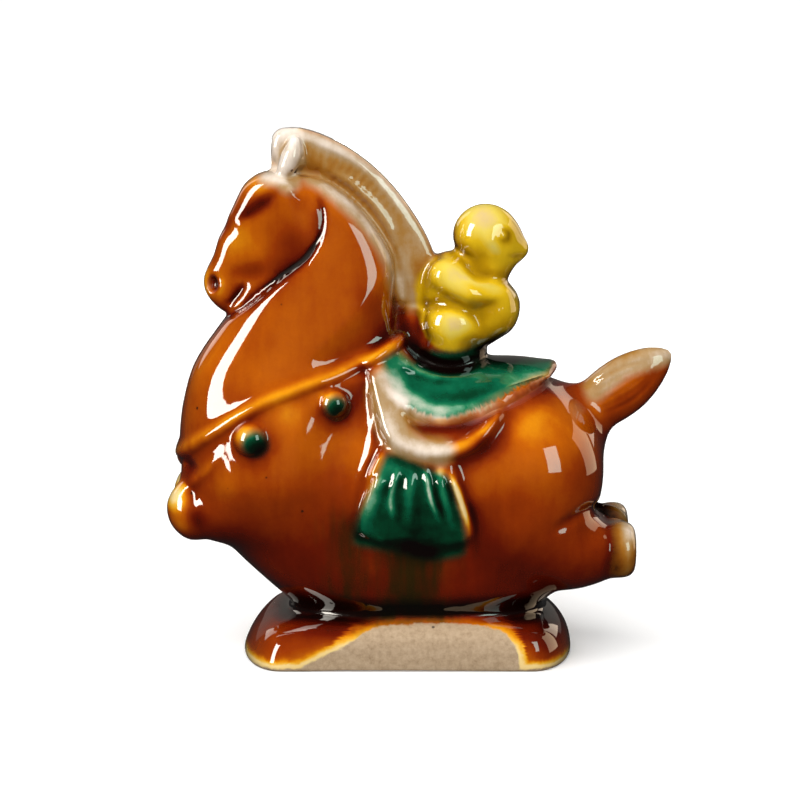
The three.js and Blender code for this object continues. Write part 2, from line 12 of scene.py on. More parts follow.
import bpy
import numpy as np
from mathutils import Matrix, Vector


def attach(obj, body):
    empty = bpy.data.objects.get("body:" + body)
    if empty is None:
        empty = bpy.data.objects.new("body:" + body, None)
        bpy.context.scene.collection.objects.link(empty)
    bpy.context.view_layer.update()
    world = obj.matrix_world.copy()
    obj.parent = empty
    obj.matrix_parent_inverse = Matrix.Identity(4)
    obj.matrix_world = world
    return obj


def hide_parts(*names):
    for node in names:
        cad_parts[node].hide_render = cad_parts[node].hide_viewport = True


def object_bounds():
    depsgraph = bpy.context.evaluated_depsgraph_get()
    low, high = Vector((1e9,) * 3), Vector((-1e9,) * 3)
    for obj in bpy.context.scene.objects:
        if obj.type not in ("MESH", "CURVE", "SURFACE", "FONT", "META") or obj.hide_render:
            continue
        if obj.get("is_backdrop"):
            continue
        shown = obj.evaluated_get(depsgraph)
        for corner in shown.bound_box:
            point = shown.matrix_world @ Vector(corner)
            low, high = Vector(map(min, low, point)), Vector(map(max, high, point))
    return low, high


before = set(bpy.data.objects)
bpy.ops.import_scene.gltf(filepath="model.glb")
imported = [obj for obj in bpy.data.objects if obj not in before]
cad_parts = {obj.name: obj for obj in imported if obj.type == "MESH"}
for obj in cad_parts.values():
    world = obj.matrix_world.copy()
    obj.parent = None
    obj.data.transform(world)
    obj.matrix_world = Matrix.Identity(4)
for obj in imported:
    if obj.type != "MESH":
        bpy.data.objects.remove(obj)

CAD_BOX = [list(corner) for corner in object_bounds()]
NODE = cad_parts["horse_figurine"]
MM = 0.001
print("plain solid, lowest and highest corner in mm:",
      [[round(v / MM, 1) for v in corner] for corner in CAD_BOX])


# %% [markdown]
# ## The camera
# A product photograph of a small thing is taken with a long lens from a little above, so
# that upright lines stay upright. The lens is worked out from how large a millimetre looks
# at the figurine, and the camera is turned toward one point near its middle.

# %% Set up the camera
CAMERA_ELEVATION = 10
CAMERA_DISTANCE = 0.52
LENS = 111.6
LOOK_AT = Vector((-0.00105, 0, 0.0532))


def aim(thing, azimuth, elevation, distance):
    """Put a thing at an angle round the figurine, 0 being the camera's side, facing it."""
    a, e = math.radians(azimuth), math.radians(elevation)
    back = Vector((math.sin(a) * math.cos(e), -math.cos(a) * math.cos(e), math.sin(e)))
    thing.location = LOOK_AT + back * distance
    thing.rotation_euler = (-back).to_track_quat("-Z", "Y").to_euler()


def place_camera():
    """A camera on a circle round the figurine, level with the photograph's view."""
    data = bpy.data.cameras.new("camera")
    data.lens = LENS
    data.sensor_width = 36
    camera = bpy.data.objects.new("camera", data)
    bpy.context.scene.collection.objects.link(camera)
    aim(camera, 0, CAMERA_ELEVATION, CAMERA_DISTANCE)
    bpy.context.scene.camera = camera
    return camera


camera = place_camera()
print("camera at", [round(v, 4) for v in camera.location])

# %% [markdown]
# ## Clay as distances
# A glossy glaze mirrors its surroundings, so every facet of a coarse mesh would show. A
# sculptor would work the fine relief in by hand. A script can do the same with distances:
# each mass of clay is a function that says how far a point is from its surface, negative
# inside, and masses run into each other with a soft fillet. Points are kept as three long
# rows, x, y and z, in millimetres, and a mass is only worked out for points near it.

# %% Helpers for masses of clay
FAR = 50.0
REACH = 9.0


def join(a, b, k):
    """Union of two masses with a fillet of about k."""
    h = np.maximum(k - np.abs(a - b), 0) / k
    return np.minimum(a, b) - h * h * k * 0.25


def common(a, b, k):
    """What two masses share, with the edge softened by k."""
    return -join(-a, -b, k)


def joined(masses, p, k):
    """Several masses run together."""
    f = masses[0](p)
    for mass in masses[1:]:
        f = join(f, mass(p), k)
    return f


def local(low, high, shape):
    """A mass that is worked out only for points near its box, and is simply far elsewhere."""
    low = np.array(low, float)[:, None] - REACH
    high = np.array(high, float)[:, None] + REACH

    def measured(p):
        out = np.full(p.shape[1], FAR)
        near = ((p > low) & (p < high)).all(axis=0)
        if near.any():
            out[near] = shape(p[:, near])
        return out
    return measured


# %% Balls and limbs


def ball(centre, radii, turn=0.0):
    """An ellipsoid; turn leans it in the side view, positive from +X toward +Z."""
    cx, cy, cz = centre
    rx, ry, rz = radii
    c, s = math.cos(turn), math.sin(turn)

    def shape(p):
        dx, dz = p[0] - cx, p[2] - cz
        u, v, w = (dx * c + dz * s) / rx, (p[1] - cy) / ry, (dz * c - dx * s) / rz
        near = np.sqrt(u * u + v * v + w * w)
        slope = np.sqrt((u / rx) ** 2 + (v / ry) ** 2 + (w / rz) ** 2)
        return near * (near - 1) / np.maximum(slope, 1e-6)
    size = max(rx, rz) if turn else 0
    box = np.array([max(rx, size), ry, max(rz, size)])
    return local(np.array(centre) - box, np.array(centre) + box, shape)


def smooth_line(knots, steps=6, closed=False):
    """A smooth line through knots, evenly timed so that it doesn't swing past them."""
    k = np.array(knots, float)
    if closed:
        k = np.vstack([k[-1], k, k[0], k[1]])
    else:
        k = np.vstack([2 * k[0] - k[1], k, 2 * k[-1] - k[-2]])
    time = np.concatenate([[0], np.cumsum(np.sqrt(np.linalg.norm(np.diff(k, axis=0), axis=1)))])
    line = []
    for i in range(1, len(k) - 2):
        for t in np.linspace(time[i], time[i + 1], steps, endpoint=False):
            row = k[i - 1:i + 3]
            when = time[i - 1:i + 3]
            for level in (1, 2, 3):
                row = [
                    ((when[j + level] - t) * row[j] + (t - when[j]) * row[j + 1])
                    / (when[j + level] - when[j])
                    for j in range(4 - level)
                ]
            line.append(row[0])
    line.append(k[-2])
    return np.array(line)


def limb(stops, flat=1.0):
    """A round limb along a smooth curve. Each stop is [x, y, z, radius]; flat squeezes it."""
    line = smooth_line([[x, y / flat, z, r] for x, y, z, r in stops])
    thick = line[:, 3].max()
    scale = np.array([1, flat, 1])

    def shape(p):
        q = p / np.array([[1], [flat], [1]])
        best = np.full(p.shape[1], FAR)
        for a, b in zip(line[:-1], line[1:]):
            step = b[:3] - a[:3]
            away = q - a[:3, None]
            t = np.clip(step @ away / (step @ step), 0, 1)
            gap = np.sqrt(((away - step[:, None] * t) ** 2).sum(axis=0))
            best = np.minimum(best, gap - a[3] - (b[3] - a[3]) * t)
        return best * min(1, flat)
    low, high = line[:, :3].min(axis=0), line[:, :3].max(axis=0)
    return local(low * scale - thick, high * scale + thick, shape)


# %% Stacked ovals


def ovals(stops, square=2.0):
    """A stack of ovals one over the other: stops are [z, middle x, half length, half depth]."""
    line = smooth_line(stops, steps=40)
    heights = line[:, 0]

    def shape(p):
        level = np.clip(p[2], heights[0], heights[-1])
        cx, rx, ry = (np.interp(level, heights, line[:, i]) for i in (1, 2, 3))
        u, v = np.abs(p[0] - cx) / rx, np.abs(p[1]) / ry
        near = np.maximum((u ** square + v ** square) ** (1 / square), 1e-6)
        bend = square - 1
        slope = np.hypot((u / near) ** bend / rx, (v / near) ** bend / ry)
        side = (near - 1) / np.maximum(slope, 1 / rx)
        return np.maximum(side * 0.92, np.maximum(p[2] - heights[-1], heights[0] - p[2]))
    wide = (line[:, 1] + line[:, 2]).max()
    narrow = (line[:, 1] - line[:, 2]).min()
    deep = line[:, 3].max()
    return local([narrow, -deep, heights[0]], [wide, deep, heights[-1]], shape)


# %% [markdown]
# ## Lines and patches drawn on the side
# Most of the relief was cut into the mould from the side: a line pressed in or raised along
# a path, or a thin layer laid on inside an outline. Both need a distance in the side view.

# %% Helpers for drawn lines and outlines


def between(x, z, low, high):
    """Which points lie in a box of the side view."""
    return (x > low[0]) & (x < high[0]) & (z > low[1]) & (z < high[1])


def nearest(line, x, z):
    """Distance in the side view to a line, and how far along it the nearest place is."""
    best = np.full(x.shape, FAR)
    along = np.zeros(x.shape)
    for i, (a, b) in enumerate(zip(line[:-1], line[1:])):
        sx, sz = b - a
        ax, az = x - a[0], z - a[1]
        t = np.clip((ax * sx + az * sz) / (sx * sx + sz * sz + 1e-12), 0, 1)
        gap = np.hypot(ax - sx * t, az - sz * t)
        closer = gap < best
        best = np.where(closer, gap, best)
        along = np.where(closer, (i + t) / (len(line) - 1), along)
    return best, along


def swell(t):
    """Height of a rounded ridge, from 1 on its middle line to 0 at a distance of 1."""
    t = np.minimum(np.abs(t), 1)
    return (1 - t * t) ** 2


def ease(t):
    """A soft step from 0 to 1."""
    t = np.clip(t, 0, 1)
    return t * t * (3 - 2 * t)


# %% Strokes and outlines


def stroke(knots, height, half, taper=0.25):
    """A line raised by height, or pressed in where it is negative, thinning at its ends."""
    line = smooth_line(knots)
    low, high = line.min(axis=0) - half, line.max(axis=0) + half

    def drawn(p):
        out = np.zeros(p.shape[1])
        x, z = p[0], p[2]
        near = between(x, z, low, high)
        if near.any():
            gap, along = nearest(line, x[near], z[near])
            ends = ease(np.minimum(along, 1 - along) / taper) if taper else 1.0
            out[near] = height * swell(gap / half) * (0.25 + 0.75 * ends if taper else 1.0)
        return out
    return drawn


def outline(knots):
    """Signed distance in the side view to a closed smooth outline, negative inside."""
    ring = smooth_line(knots, steps=5, closed=True)
    low, high = ring.min(axis=0) - REACH, ring.max(axis=0) + REACH

    def measured(p):
        out = np.full(p.shape[1], FAR)
        x, z = p[0], p[2]
        near = between(x, z, low, high)
        x, z = x[near], z[near]
        gap, _ = nearest(ring, x, z)
        inside = np.zeros(x.shape, bool)
        for a, b in zip(ring[:-1], ring[1:]):
            crosses = (a[1] > z) != (b[1] > z)
            reach = a[0] + (b[0] - a[0]) * (z - a[1]) / (b[1] - a[1] + 1e-12)
            inside ^= crosses & (x < reach)
        out[near] = np.where(inside, -gap, gap)
        return out
    return measured


def total(strokes, p):
    """All of a region's strokes together, as a height."""
    return sum(line(p) for line in strokes)


# %% Helpers for small marks


def dot(x, z, radius, height):
    """A round spot on the side, raised by height or pressed in."""
    def drawn(p):
        return height * swell(np.hypot(p[0] - x, p[2] - z) / radius)
    return drawn


def pocket(knots, depth, edge):
    """A hollow pressed in inside an outline, with a sloping edge."""
    shape = outline(knots)
    return lambda p: -depth * ease(-shape(p) / edge)


# %% [markdown]
# ## Plinth, trunk and legs
# The real piece was pressed in a two-part mould, so its body is a few full, rounded masses
# that run into each other. They repeat the masses of the plain solid with the same numbers,
# which keeps the fine surface where the solid is. New are the creases over the tucked
# foreleg, the bands above the hooves, the combed lines of the tail, and two soft forms that
# catch the light: a flat place on the side of the neck, and a valley down the flank.

# %% Plinth, trunk, neck, legs and tail
TRUNK_BLEND = 6
LEG_BLEND = 3.5
FORELEG_FOLD = 4
FOLD_FROM = 32
FOLD_WIDTH = 7
HEAD_BLEND = 3
PLINTH_BLEND = 2.2
TAIL_BLEND = 4
SMALL_BLEND = 1

PLINTH_MIDDLE = 0.2
PLINTH_HALF_LENGTH = 35
PLINTH_HALF_DEPTH = 20.3
PLINTH_END = 9
PLINTH_TOP = 10
PLINTH_TOP_AT_ENDS = (7.4, 8.5)
PLINTH_SHOULDER = 6
PLINTH_SHOULDER_AT_ENDS = (12, 8)
PLINTH_FOOT = 0.5


def plinth(p):
    """A slab with long straight fronts, oval ends and a soft upper shoulder."""
    x, y, z = p
    straight = PLINTH_HALF_LENGTH - PLINTH_END
    along = x - PLINTH_MIDDLE
    u = np.maximum(np.abs(along) - straight, 0) / PLINTH_END
    v = y / PLINTH_HALF_DEPTH
    near = np.maximum(np.hypot(u, v), 1e-6)
    slope = np.maximum(np.hypot(u / PLINTH_END, v / PLINTH_HALF_DEPTH), 1e-6)
    side = near * (near - 1) / slope
    end = np.clip((np.abs(along) - straight + PLINTH_END) / (2 * PLINTH_END), 0, 1)
    front = along < 0
    shoulder_end = np.where(front, *PLINTH_SHOULDER_AT_ENDS)
    top_end = np.where(front, *PLINTH_TOP_AT_ENDS)
    shoulder = PLINTH_SHOULDER + (shoulder_end - PLINTH_SHOULDER) * end
    top = PLINTH_TOP + (top_end - PLINTH_TOP) * end
    upper = common(side, z - top, shoulder)
    return common(upper, -PLINTH_FOOT - z, PLINTH_FOOT * 3)


trunk = [
    ovals([
        [6, 2.7, 26, 15], [10.5, 2.5, 26.6, 16], [15.5, 2.8, 32, 18],
        [23, 1.2, 37, 19], [32, 0.2, 38.2, 19.2], [40, 0.2, 35.6, 17.8], [45, 0.2, 31, 15],
        [50, 0.2, 24, 9],
    ], 2.5),
    ball([-22.5, 0, 41.5], [22, 19, 21.5]),
    ball([3, 0, 39], [34, 19.4, 19.5]),
    ball([15, 0, 44.1], [26.7, 16.4, 17]),
]
NECK_SQUARE = 3.2
haunch = ball([25.2, 7.6, 38.6], [15.8, 13.6, 16.8])
neck = ovals([
    [32, -19, 20, 10], [37, -20, 23.6, 14.4], [42, -21, 25.2, 16.6], [50, -21, 25.6, 16.8],
    [55, -21.3, 24.6, 16.2], [61, -21.6, 22.5, 15], [66, -20.1, 20.9, 13.9],
    [71, -18.4, 18.9, 12.8], [76, -17.2, 17, 11.7], [83, -16.6, 14.8, 10.3],
    [91, -17.4, 11, 8.6], [97, -19.6, 7.4, 6.6], [100.5, -21.4, 4, 4],
], NECK_SQUARE)
neck_facet = pocket([
    [-1, 88], [-5.4, 81], [-11, 73], [-20.5, 64], [-16, 58.5], [-2, 61], [6, 64], [10, 76],
    [6, 88],
], 2.3, 7)
flank_valley = stroke([[-8, 60], [-10.4, 54], [-13.4, 46], [-13.2, 38], [-12.6, 28]], -1.85, 9.5, 0.4)
foreleg = limb([[-30, 8, 34.6, 10], [-38, 8.6, 32, 7.1], [-44, 9, 31.8, 5.2]])
fore_hoof = ball([-44.3, 9, 31.4], [4.8, 5.3, 6.2], 0.25)
hind_leg = limb([[25, 9.5, 29, 11], [34, 9.6, 23.5, 8.5], [42, 9.4, 23.2, 5.6]])
hind_drum = limb([[44.6, 9.3, 23.3, 5.9], [52, 9.3, 23.3, 5.9]])
HIND_HOOF_END = 47.9
TAIL_FLATNESS = 0.62
tail = limb([
    [34.4, 0, 49, 3.4], [41, 0, 52.8, 5.7], [46.3, 0, 56.7, 6], [51.4, 0, 60.6, 3.9],
    [55.2, 0, 63.2, 0.8],
], TAIL_FLATNESS)

hind_web = ball([41, 0, 25.6], [7, 9, 5.6])
limb_strokes = [
    stroke([[-49.1, 32.8], [-44.7, 37.8], [-41.5, 40.2], [-36.9, 46.3]], 0.25, 1.2),
    dot(-44, 41.6, 2, -0.6),
    stroke([[-43, 37.4], [-43.9, 33], [-42.7, 28.4]], -0.25, 1.2),
    stroke([[42.6, 29.1], [38.2, 33], [34.6, 32], [28.6, 28.7]], -0.6, 2),
    stroke([[42, 29.2], [42.2, 24], [41.6, 18.6]], -0.4, 1.3),
]

# %% Combed tail, and the horse without its tack


def tail_stroke(share):
    """One combed line of the tail, between its lower and upper edges."""
    start = np.array([39.6, 50.2]) + share * np.array([-2.2, 5.6])
    middle = np.array([47.8, 54.2]) + share * np.array([-3.4, 6])
    end = np.array([53.6, 60.8]) + share * np.array([-1, 1.8])
    return stroke([start, middle, end], -0.18, 0.7)


tail_strokes = [tail_stroke(share) for share in np.linspace(0, 1, 6)]


def trunk_and_neck(p):
    f = neck(p) - neck_facet(p)
    for mass in trunk:
        f = join(f, mass(p), TRUNK_BLEND)
    return join(f - flank_valley(p), haunch(p), LEG_BLEND)


def with_legs(f, p):
    fold = FORELEG_FOLD * ease((p[2] - FOLD_FROM) / FOLD_WIDTH)
    f = join(f, foreleg(p), LEG_BLEND + fold)
    f = join(f, fore_hoof(p), SMALL_BLEND)
    f = join(f, hind_leg(p), LEG_BLEND)
    f = join(f, common(hind_drum(p), p[0] - HIND_HOOF_END, 3), SMALL_BLEND)
    f = join(f, hind_web(p), 2 * SMALL_BLEND)
    f = join(f, tail(p) - total(tail_strokes, p), TAIL_BLEND)
    return f - total(limb_strokes, p)


# %% [markdown]
# ## Saddle, cloth, strap and bells
# On the real piece the tack is low relief: a pleated cloth lowest, a thick crescent pad over
# it, and a saddle blanket with a rolled edge on top. Each is a thin layer of clay inside an
# outline drawn on the side view, laid over the flank and rounded at its lip, and the cloth
# thins towards its hem. The pleats and the rolled edge are then raised as lines, and the
# seat round the monkey is pressed in, because that is where the glaze will pool dark.

# %% Tack
blanket = outline([
    [-7.2, 63], [-5.8, 59.4], [-0.9, 54.5], [3.6, 52.2], [9.2, 51.6], [14.3, 52.6], [20, 54.8],
    [25.6, 57.4], [31.4, 59.7], [33, 61.6], [31, 68], [10, 72], [-1, 69],
])
crescent = outline([
    [-7, 62], [-6.9, 56], [-3.7, 47.5], [5.4, 43.8], [14.9, 46.1], [20, 53.2], [18.4, 54],
    [12, 49.4], [6, 48.7], [1.6, 51.6], [0, 57],
])
skirt = outline([
    [-4.6, 46.6], [9.8, 43.6], [12, 36], [13.8, 28.2], [9.4, 26.6], [4.6, 25.9], [0, 27.6],
    [-4.4, 27.2], [-9.6, 29.2], [-7.4, 38],
])
SKIRT_THICK = 0.9
SKIRT_THICK_AT_HEM = 0.3
HEM_AT = 25
HEM_WIDTH = 6
CRESCENT_THICK = 2
BLANKET_THICK = 1.5
BLANKET_THICK_REAR = 3.1
REAR_FROM = 19
REAR_WIDTH = 11

PLEAT_LINES = [
    [[-4.4, 41.6], [-6.2, 38.4], [-7.9, 30]],
    [[-1.2, 43], [-2.2, 40], [-2.8, 37], [-2.4, 31.6]],
    [[1.2, 42.4], [0.8, 37.4], [0.2, 29]],
    [[4, 42.8], [4.5, 40], [5.2, 36.4], [7, 31.6]],
    [[7, 42], [7.6, 38], [9.6, 30.4]],
    [[8.9, 42], [9.9, 39.4], [11.4, 36], [13.4, 29]],
]
PLEAT_HALVES = [2.2, 1.2, 1.7, 1.1, 1.5, 1.2]
pleats = [
    stroke(line, 1, half, 0.3)
    for line, half in zip(PLEAT_LINES, PLEAT_HALVES)
] + [stroke([[-2.4, 39], [-2.5, 36.5], [-2.2, 34]], -0.7, 0.6)]
saddle_strokes = [
    stroke([[-6.3, 60], [-0.5, 55.4], [5.4, 52.9], [12, 53.2], [20, 55.9], [30, 59]], 0.5, 1.6, 0.1),
    stroke([[-2.4, 61.6], [1.8, 58], [7, 55.9], [14, 56.4], [26, 59.6]], -0.25, 2, 0.2),
    stroke([[-1.6, 63.4], [2.4, 61.2], [8, 59.8], [15.5, 60.6]], 0.4, 1.2),
    stroke([[0.6, 66.4], [4.2, 62.8], [9.3, 61.4], [15.5, 62.3]], -0.8, 1.7),
]
crescent_strokes = [
    stroke([[-5.4, 56], [-3.4, 49.4], [4.6, 45.8], [13.6, 47.8], [18, 52]], 0.4, 2.6, 0.15),
    stroke([[1, 52.4], [5.4, 48.9], [9.8, 48.6], [14.8, 51.2], [17.6, 53]], -0.3, 1.1),
]

STRAP_HALF = 2
STRAP = [[-0.6, 67.2], [-15.2, 60.6], [-29, 55.6], [-42.4, 47.2], [-48, 43]]
strap_strokes = [
    stroke(STRAP, 1, STRAP_HALF, 0),
    stroke([[-8, 60], [-6.9, 52.9], [-6.9, 47], [-9.5, 40], [-11, 35.5]], 0.25, 1),
    stroke([[-4.4, 45.8], [-6.2, 43], [-8.4, 39.2]], 0.3, 0.9),
]

BELLS = [[-14.6, 55, 3.2], [-31.2, 48, 3.8]]
BELL_STANDS_OUT = 0.3
LOOP_RADIUS = 1.3
LOOP_FORWARD = 0.3
LOOP_ABOVE = 1.15

# %% Bells on the flank


def flank(x, z):
    """How far out the flank lies at one place of the side view."""
    y = 2.0 * PLINTH_HALF_DEPTH
    gap = 1.0
    while gap > 0.02:
        gap = float(trunk_and_neck(np.array([[x], [y], [z]]))[0])
        y -= 0.6 * gap
    return y


def make_bells():
    """The round breast bell, and two bells a side with the loops that they hang from."""
    masses = [ball([-44.7, 0, 41.8], [3.4, 3.5, 3.4])]
    for x, z, r in BELLS:
        masses.append(ball([x, flank(x, z) + r * BELL_STANDS_OUT, z], [r, r, r]))
        loop_x, loop_z = x - r * LOOP_FORWARD, z + r * LOOP_ABOVE
        loop_y = flank(loop_x, loop_z) + LOOP_RADIUS * 0.25
        masses.append(ball([loop_x, loop_y, loop_z], [LOOP_RADIUS] * 3))
    return masses


bells = make_bells()

# %% Lay the tack on the flank


def with_tack(body, p):
    rearward = np.clip((p[0] - REAR_FROM) / REAR_WIDTH, 0, 1)
    blanket_thick = BLANKET_THICK + (BLANKET_THICK_REAR - BLANKET_THICK) * rearward
    from_hem = ease((p[2] - HEM_AT) / HEM_WIDTH)
    skirt_thick = SKIRT_THICK_AT_HEM + (SKIRT_THICK - SKIRT_THICK_AT_HEM) * from_hem
    cloth = common(body - skirt_thick - total(pleats, p), skirt(p), 1.2 * SMALL_BLEND)
    pad = common(body - CRESCENT_THICK - total(crescent_strokes, p), crescent(p), 2.8 * SMALL_BLEND)
    seat = common(body - blanket_thick, blanket(p), 2.2 * SMALL_BLEND) - total(saddle_strokes, p)
    f = join(body, cloth, SMALL_BLEND)
    f = join(f, pad, 1.4 * SMALL_BLEND)
    f = join(f, seat, 1.4 * SMALL_BLEND)
    return f - total(strap_strokes, p)


print("pleats:", len(PLEAT_LINES), "bells and their loops:", len(bells))

# %% [markdown]
# ## Head and mane
# The head is a wedge whose side was pressed flat, set off from the neck by one deep groove
# that runs under the jaw. The eye of such a moulded horse is only a slanted pocket, so it is
# an outline pressed in, and the mouth and nostril are as simple. The mane is a flat crest
# that stands up from the neck, bevelled along its edge and combed with shallow grooves that
# cross its upper band.

# %% Head and face
head_masses = [
    ball([-25, 2.2, 90.6], [8.2, 7.6, 8.6]),
    ball([-26.6, 0, 95.3], [6.2, 9, 6]),
    limb([[-29, 0, 94.2, 5.6], [-33.4, 0, 87.4, 4.9], [-36.6, 0, 79, 4.2]], 2),
    ball([-36.9, 0, 77.8], [4.5, 7.4, 4.7]),
    ball([-32, 0, 84.6], [5, 8, 6.6]),
    limb([[-27, 0, 84, 4.8], [-35.2, 0, 74.6, 2.9]], 2),
]
cheek_strokes = [
    stroke([[-18.6, 97.6], [-17, 94.4], [-16.9, 90], [-18.3, 86.4], [-20.6, 83.4]], -0.5, 0.9),
    stroke([[-17.4, 88.4], [-20.6, 83.4], [-24.6, 80.4], [-29, 76.8], [-34.4, 72.6]], -0.7, 1.2),
]
face_strokes = [
    pocket([
        [-35.2, 91.4], [-33, 93.7], [-30, 96.3], [-27.4, 97.9], [-25.6, 97.7], [-26.3, 95.3],
        [-28.1, 93.2], [-30.4, 91.9], [-32.6, 91],
    ], 0.4, 2.4),
    stroke([[-32.9, 78.7], [-34.2, 76.6], [-37, 73.4]], -0.7, 1.1),
    stroke([[-31.7, 77.2], [-33.5, 74.5], [-35.7, 72.4]], 0.2, 1.2),
    stroke([[-36.4, 80], [-32.9, 80.6], [-28, 81.4]], -0.3, 3, 0.4),
    dot(-36.6, 89.4, 3.2, -0.4),
    stroke([[-38.1, 79.4], [-37.7, 77.8], [-38.5, 76.3]], 0.3, 0.9),
    dot(-23.4, 98, 1.2, 0.4),
]
FACE_FROM = -38
FACE_HALF = 4.6
FACE_SLANT = 0.25
FACE_EDGE = 2
BEHIND_THE_FACE = 12
face_plate = outline([
    [-19.6, 99], [-17.2, 95], [-16.9, 90], [-18.3, 86.4], [-20.6, 83.4], [-24.6, 80.4], [-29, 76.8],
    [-34.4, 72.6], [-42, 69], [-47, 80], [-42, 100], [-28, 106],
])
nostril = ball([-39.6, 3.4, 78.2], [1, 1.4, 1.5])
ear = limb([[-22.6, 3.2, 107.4, 1.2], [-23.4, 3.6, 104.2, 2.2], [-25, 3.8, 101, 1.4]])
ear_fold = limb([[-21.3, 2.8, 106, 0.7], [-21.4, 3.1, 103, 1], [-23.2, 3.3, 100.4, 0.8]])
forelock = limb([[-25, 0, 107.6, 2.4], [-25.3, 0, 104, 2.4], [-26.2, 0, 100.8, 1.4]])
lock_strokes = [
    stroke([[-24.8, 107.4], [-25.4, 104.4], [-26, 101.6]], -0.5, 0.8),
    stroke([[-26.4, 108], [-26.7, 104.4], [-27, 101.4]], -0.25, 0.6),
]

# %% Mane
MANE_HALF_TOP = 2.3
MANE_HALF_ROOT = 3.6
MANE_TAPER = 8
crest = outline([
    [-26.8, 104], [-27, 108], [-23.4, 110.2], [-13.4, 107], [-5.2, 101], [1, 93.6],
    [5.4, 85.7], [6.4, 81], [4, 73], [-1, 74], [-4, 83], [-10, 91.5], [-17.5, 98],
])
crest_edge = smooth_line([[-25.4, 109.9], [-13.4, 107], [-5.2, 101], [1, 93.6], [5.4, 85.7]])
crest_length = np.concatenate([[0], np.cumsum(np.linalg.norm(np.diff(crest_edge, axis=0), axis=1))])
COMB_SPACING = 1.9
COMB_DEPTH = 0.14
COMB_BAND = (2, 7)
COMB_FADE = 0.7
COMB_FADES_AT = 22
COMB_FADE_WIDTH = 12
mane_strokes = [
    stroke([[-20.5, 101.3], [-12.3, 97.4], [-6.2, 91], [-1.5, 83], [0.2, 74]], -0.35, 1.6, 0),
    stroke([[-19, 103.4], [-10.8, 98.6], [-5.4, 93.2], [-2.6, 88], [0.2, 79.4]], 0.5, 1),
    stroke([[-21.4, 108.3], [-11.2, 104], [-2.4, 95.1], [3.8, 85.4]], 0.3, 0.8),
]

# %% Combed mane


def comb(p, flat):
    """How deep the combed grooves of the crest are at each point."""
    out = np.zeros(flat.shape)
    near = (flat < -COMB_BAND[0]) & (flat > -COMB_BAND[1])
    if near.any():
        _, along = nearest(crest_edge, p[0][near], p[2][near])
        steps = np.arange(len(crest_edge))
        way = np.interp(along * (len(crest_edge) - 1), steps, crest_length)
        wave = (0.5 + 0.5 * np.cos(2 * math.pi * way / COMB_SPACING)) ** 2
        band = ease((-flat[near] - COMB_BAND[0]) / 0.9) * ease((flat[near] + COMB_BAND[1]) / 1.8)
        fade = 1 - COMB_FADE * ease((way - COMB_FADES_AT) / COMB_FADE_WIDTH)
        out[near] = COMB_DEPTH * wave * band * fade
    return out


# %% Join the head and the mane to the neck


def with_face(f, p):
    """Press the side of the head flat as far as the groove, and draw the face on it."""
    half = FACE_HALF + FACE_SLANT * (p[0] - FACE_FROM)
    half += BEHIND_THE_FACE * ease((face_plate(p) + 0.4) / 1.6)
    f = common(f, p[1] - half, FACE_EDGE) - total(face_strokes + cheek_strokes, p)
    return common(f, -nostril(p), SMALL_BLEND)


def mane(p):
    flat = crest(p)
    half = MANE_HALF_TOP + (MANE_HALF_ROOT - MANE_HALF_TOP) * np.clip(-flat / MANE_TAPER, 0, 1)
    return common(flat, p[1] - half + comb(p, flat), SMALL_BLEND)


def with_head(f, p):
    f = join(f, mane(p), SMALL_BLEND) - total(mane_strokes, p)
    f = with_face(join(f, joined(head_masses, p, HEAD_BLEND), SMALL_BLEND), p)
    f = join(f, ear(p), SMALL_BLEND / 2)
    f = join(f, ear_fold(p), SMALL_BLEND / 2)
    return join(f, forelock(p) - total(lock_strokes, p), SMALL_BLEND)


print("head:", len(head_masses), "masses and", len(cheek_strokes + face_strokes), "lines")

# %% [markdown]
# ## Monkey
# The monkey is hardly more than a thumb's work: a round head with a short muzzle, a curled
# back, one arm held forward and one thigh. What makes it read as a monkey are the grooves
# between those masses, the ring round the eye and the tuft on the cheek, so those are the
# lines that are added here.

# %% Monkey
monkey_masses = [
    ball([16.7, 0, 88], [6.8, 6.2, 6.5]),
    limb([[19.5, 0, 87, 4.8], [23, 0, 85.2, 2.7]]),
    limb([[18.8, 0, 84, 4.7], [15.6, 0, 78.6, 4.8]]),
    ball([10.4, 0, 76.4], [7.6, 6.8, 8.4], 0.3),
    limb([[8.4, 4.6, 79.8, 3.6], [13, 6.3, 76.4, 3], [19, 3.6, 75.6, 3]]),
    ball([18.6, 0, 73], [5.4, 6.4, 5.8]),
    limb([[18, 2.4, 71.4, 4.8], [13.6, 2.4, 67.4, 4]]),
    ball([9.9, 4.4, 69.8], [5.9, 4.6, 5.4]),
    ball([9.4, 0, 64.6], [7.8, 7.4, 5.4]),
    ball([1.4, 0, 67.5], [5, 5.6, 6]),
]
monkey_strokes = [
    dot(20.4, 88.2, 2.3, -0.3),
    dot(20.4, 88.2, 1.2, 0.5),
    stroke([[16.9, 88.4], [17.9, 86.4], [19.2, 84]], 0.4, 1.5),
    stroke([[14.6, 88.6], [15.6, 85.4], [17.4, 83]], -0.3, 1.5),
    stroke([[18.6, 91.6], [20.9, 90.4], [22.4, 88.6]], 0.2, 1),
    stroke([[24.6, 83.8], [22.4, 83.6], [20.8, 84.2]], -0.25, 0.8),
    stroke([[12.2, 82.6], [14.6, 80.3], [18.4, 79.8]], -0.5, 1.6),
    stroke([[11.8, 81], [14.6, 78.9], [18, 78.6]], 0.3, 1.1),
    stroke([[6.4, 77.6], [10.3, 75.6], [15.4, 74.4], [19.8, 74.2]], -0.4, 1.6),
    stroke([[3.4, 73.4], [7.4, 74.2], [12.4, 73.2], [15.4, 70.2], [17, 66.6]], -0.4, 1.6),
    stroke([[17.6, 65.6], [16.2, 64.6], [14.2, 64.4]], -0.3, 1),
]


